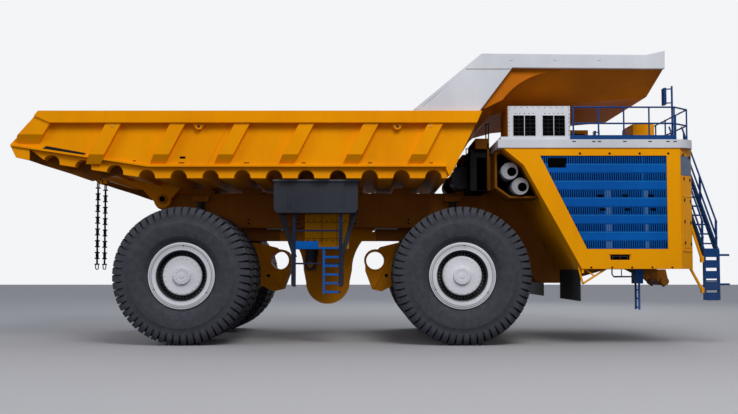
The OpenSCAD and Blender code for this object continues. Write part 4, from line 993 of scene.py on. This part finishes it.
def make_handrails():
    """Round tubes in place of the deck's plain rails."""
    line, front, side_end, corner = 4.845, 9.11, 8.61, 0.5
    part = Part("handrails_fine", "navy", bevel=0.003, replaces=["handrails"], slot="rail_paint")
    rail_run(part, (5.74, -line, DECK_TOP), (side_end, -line, DECK_TOP), 4)
    rail_run(part, (front, -line + corner, DECK_TOP), (front, line - corner, DECK_TOP), 8)
    rail_run(part, (7.95, line, DECK_TOP), (side_end, line, DECK_TOP), 1)
    for s in (-1, 1):
        for h in RAIL_HEIGHTS:
            part.rod((side_end, s * line, DECK_TOP + h), (front, s * (line - corner), DECK_TOP + h), RAIL_R)
    part.box((5.65, -line - 0.030, DECK_TOP), (side_end + 0.05, -line + 0.030, DECK_TOP + 0.130))
    clamps = Part("rail_clamps", "black")
    for x in (5.74, 6.30, 6.457, 7.175, 7.892, 8.40, 8.60):
        clamps.box((x - 0.05, -4.9353, DECK_TOP - 0.075), (x + 0.05, -4.93, DECK_TOP - 0.045))
        clamps.box((x - 0.012, -4.9345, DECK_TOP - 0.12), (x + 0.012, -4.92, DECK_TOP - 0.01))


def make_stair_foot():
    """Deep risers at the foot of the stair, and the strut between the foot and the nose."""
    foot = Part("stair_foot", "navy", bevel=0.004)
    for k in range(5):
        z = 1.27 + 0.31 * k
        foot.box((9.62, -4.246, z), (9.98, -4.222, min(z + 0.21, 2.66)))
        foot.box((9.62, -4.246, min(z + 0.20, 2.65)), (9.98, -4.05, min(z + 0.225, 2.68)))
    foot.box((9.58, -4.249, 2.66), (10.02, -3.95, 2.76))
    strut = Part("stair_struts", "body", bevel=0.004, slot="body_paint")
    strut.rod((9.17, -4.175, 2.24), (9.53, -4.175, 1.56), 0.040, 24)
    strut.box((9.49, -4.235, 1.48), (9.577, -4.115, 1.64))


def make_bay_boxes():
    """The dark box behind the bay, its shelf in brown as painted shade, and the gusset under each side
    panel's lip.
    """
    dark = Part("bay_boxes", "black", bevel=0.008, segments=2)
    shelf = Part("bay_shelves", "shade_brown", bevel=0.006, segments=2)
    brace = Part("panel_braces", "body", bevel=0.004, slot="body_paint")
    for s in (-1, 1):
        dark.box((2.97, s * 1.06, 4.50), (3.459, s * 3.20, 5.738))
        shelf.box((3.11, s * 1.06, 5.741), (3.519, s * 3.36, 6.05))
        flat_bar(brace, (5.86, 2.20), (5.975, 1.75), 0.05, s, 4.74, 4.80)
        flat_bar(brace, (5.965, 1.75), (6.66, 2.19), 0.05, s, 4.74, 4.80)
        flat_bar(brace, (6.02, 2.19), (6.30, 1.97), 0.04, s, 4.745, 4.795)
        for k in range(8):
            y = 1.3 + 0.27 * k
            shelf.box((3.102, s * y, 5.745), (3.112, s * (y + 0.02), 6.046))


def make_panel_handles():
    """Near-black inserts as painted shade in the recessed handles, their grips, and the pipe that hangs under
    the right panel.
    """
    dark = Part("handle_recess_shade", "void")
    grip = Part("handle_grips", "dark")
    for s in (-1, 1):
        y = s * 4.8705
        dark.box((6.74, y, 2.425), (7.28, y + s * 0.003, 2.565))
        grip.rod((6.80, s * 4.885, 2.52), (7.22, s * 4.885, 2.52), 0.009, 10)
        for x in (6.80, 7.01, 7.22):
            grip.box((x - 0.012, s * 4.872, 2.44), (x + 0.012, s * 4.886, 2.53))
    pipe = Part("panel_pipes", "navy")
    hanger = ((6.85, 2.19), (6.85, 2.02), (6.90, 1.95), (7.42, 1.95), (7.50, 2.0), (7.50, 2.19))
    for line, r, sides in ((hanger, 0.020, 10), (((7.12, 1.96), (7.12, 2.19)), 0.014, 8)):
        pipe.tube([(x, -4.55, z) for x, z in line], r, sides)


def make_canopy_details():
    """Seam with the painted shadow under its plate step, strip and weld plates on the canopy's white sides.
    """
    seam = Part("canopy_seams_and_shadow", "dark", "dump_body")
    strip = Part("canopy_strips", "white", "dump_body", bevel=0.003, slot="white_paint")
    for s in (-1, 1):
        y0, y1 = s * 4.8095, s * 4.8112
        # The dark line is the seam and, painted with it, the shadow under the proud plate above
        seam.box((2.70, y0, 7.852), (3.99, y1, 7.864))
        # Strip along the canopy's edge, and the wedge that carries its front edge down to the wall
        strip.prism([(2.71, 7.866), (3.18, 8.300), (7.85, 8.262), (8.372, 8.378), (8.364, 7.878),
                     (4.03, 7.905), (3.99, 7.866)], 1, s * 4.806, s * 4.816)
        strip.prism([(1.20, 6.692), (1.36, 6.692), (3.20, 8.300), (3.135, 8.296)], 1, s * 4.72, s * 4.812)
        for x in (3.95, 5.20, 6.45):
            seam.box((x, y0, 8.10), (x + 0.10, s * 4.8165, 8.108))


make_corner_doors()
make_duct_shade_and_rims()
make_cabinet_details()
make_deck_details()
make_handrails()
make_stair_foot()
make_bay_boxes()
make_panel_handles()
make_canopy_details()


# Finish: the tail's corners, the hinge, the nose's face and the cab

def make_tail_corners():
    """Closes the gap between the top rail's sloped end and the slanting post under it."""
    part = Part("tail_corners", "bed", "dump_body", bevel=0.003, slot="bed_paint")
    rail_x, rail_z = -9.555, RAIL_LOW + 0.20
    post_x, post_z = TAIL_X + 0.24, TAIL_Z + 0.27
    at_low = (rail_z - RAIL_LOW) / (rail_z - post_z)
    outline = [(rail_x, rail_z), (-9.11, RAIL_LOW), (-9.11, RAIL_LOW - 0.012),
               (rail_x + (post_x - rail_x) * at_low, RAIL_LOW - 0.012)]
    for s in (-1, 1):
        part.prism(outline, 1, s * (WALL_Y - 0.03), s * (RIB_Y - 0.062))


def make_tail_webs():
    """Deep webs under the tail's floor, behind the scalloped edge, brown as painted shade."""
    part = Part("tail_webs", "shade_brown", "dump_body", bevel=0.003)
    low_line = [(-9.93, 5.320), (-9.457, 5.155), (-8.708, 4.925), (-8.074, 4.706), (-7.05, 4.975)]
    high_line = [(x, floor_z(x) + 0.005) for x, _ in reversed(low_line)]
    for s in (-1, 1):
        part.prism(low_line + high_line, 1, s * 4.18, s * 4.21)
        for i in range(len(low_line) - 1):
            (xa, za), (xb, zb) = low_line[i], low_line[i + 1]
            part.prism([(xa, za), (xb, zb), (xb, zb + 0.03), (xa, za + 0.03)], 1, s * 4.12, s * 4.27)


def make_hinge_details():
    """Dark disc as painted shade of the bore, and keeper ring, in the end of each hinge pin."""
    bore = Part("hinge_bore_shade", "void")
    keeper = Part("hinge_keepers", "axle", bevel=0.002)
    hinge_x, hinge_z, bore_r = -6.60, 4.38, 0.095
    for s in (-1, 1):
        bore.rod((hinge_x, s * 1.336, hinge_z), (hinge_x, s * 1.344, hinge_z), bore_r, 32)
        keeper.collar((hinge_x, s * 1.338, hinge_z), bore_r, 0.118, 0.0, 0.012, 40, s)


def make_nose_face():
    """Bolts, an edge strip round the front grille and the rims and lenses of the lamps."""
    low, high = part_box("front_grille")
    face, gap = high[0] + 0.010, 0.01
    strip = Part("nose_strips", "body", bevel=0.003, slot="body_paint")
    frame_boxes(strip, 0, (face - 0.002, face + 0.012), (low[1] - gap, low[2] - gap),
                (high[1] + gap, high[2] + gap), 0.05)
    bolts = Part("nose_bolts", "black")
    for k in range(13):
        for z in (5.47, 2.26):
            bolts.bolt((face, -4.2 + 0.70 * k, z), (1, 0, 0), 0.026, 0.012)
    for k in range(6):
        for y in (-4.2, 4.2):
            bolts.bolt((face, y, 2.78 + 0.45 * k), (1, 0, 0), 0.022, 0.012)
    rims = Part("lamp_rims", "black")
    lens = Part("lamp_lenses", "rim", bevel=0.004, segments=2)
    low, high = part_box("lamps")
    x, z = high[0], 2.42
    for y in (high[1] - 0.14, high[1] - 0.64, low[1] + 0.14, low[1] + 0.64):
        rims.tube([(x, v, w) for v, w in arc(y, z, 0.126, 0, 360, 32)[:-1]], 0.014, 8, closed=True)
        lens.rod((x - 0.002, y, z), (x + 0.006, y, z), 0.100, 32)


def make_cab_details():
    """Black rubber round the cab's fixed windows, and the wiper."""
    part = Part("cab_gaskets", "black", bevel=0.002)
    (x0, _, _), (x1, y1, top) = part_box("cab_shell")
    y0 = y1 - 1.70
    low, high = DECK_TOP + 0.35, top - 0.16
    # Each window: axis that it faces, its plane, outward way, from, to, lower edge
    windows = ((0, x1, 1, y0 + 0.15, y1 - 0.15, low - 0.10), (0, x0, -1, y0 + 0.25, y1 - 0.25, low),
               (1, y1, 1, x0 + 0.18, x0 + 0.90, low), (1, y1, 1, x0 + 1.02, x1 - 0.18, low),
               (1, y0, -1, x0 + 1.17, x1 - 0.15, low))
    for axis, at, way, u0, u1, z0 in windows:
        frame_boxes(part, axis, (at - way * 0.002, at + way * 0.008), (u0, z0), (u1, high), 0.028)
    y = (y0 + y1) / 2
    part.rod((x1 + 0.012, y, low - 0.13), (x1 + 0.014, y + 0.42, low + 0.42), 0.010, 8)
    part.rod((x1 + 0.006, y + 0.30, low + 0.10), (x1 + 0.006, y + 0.52, low + 0.62), 0.008, 8)


make_tail_corners()
make_tail_webs()
make_hinge_details()
make_nose_face()
make_cab_details()
for piece in Part.every:
    piece.done(**piece.finish)
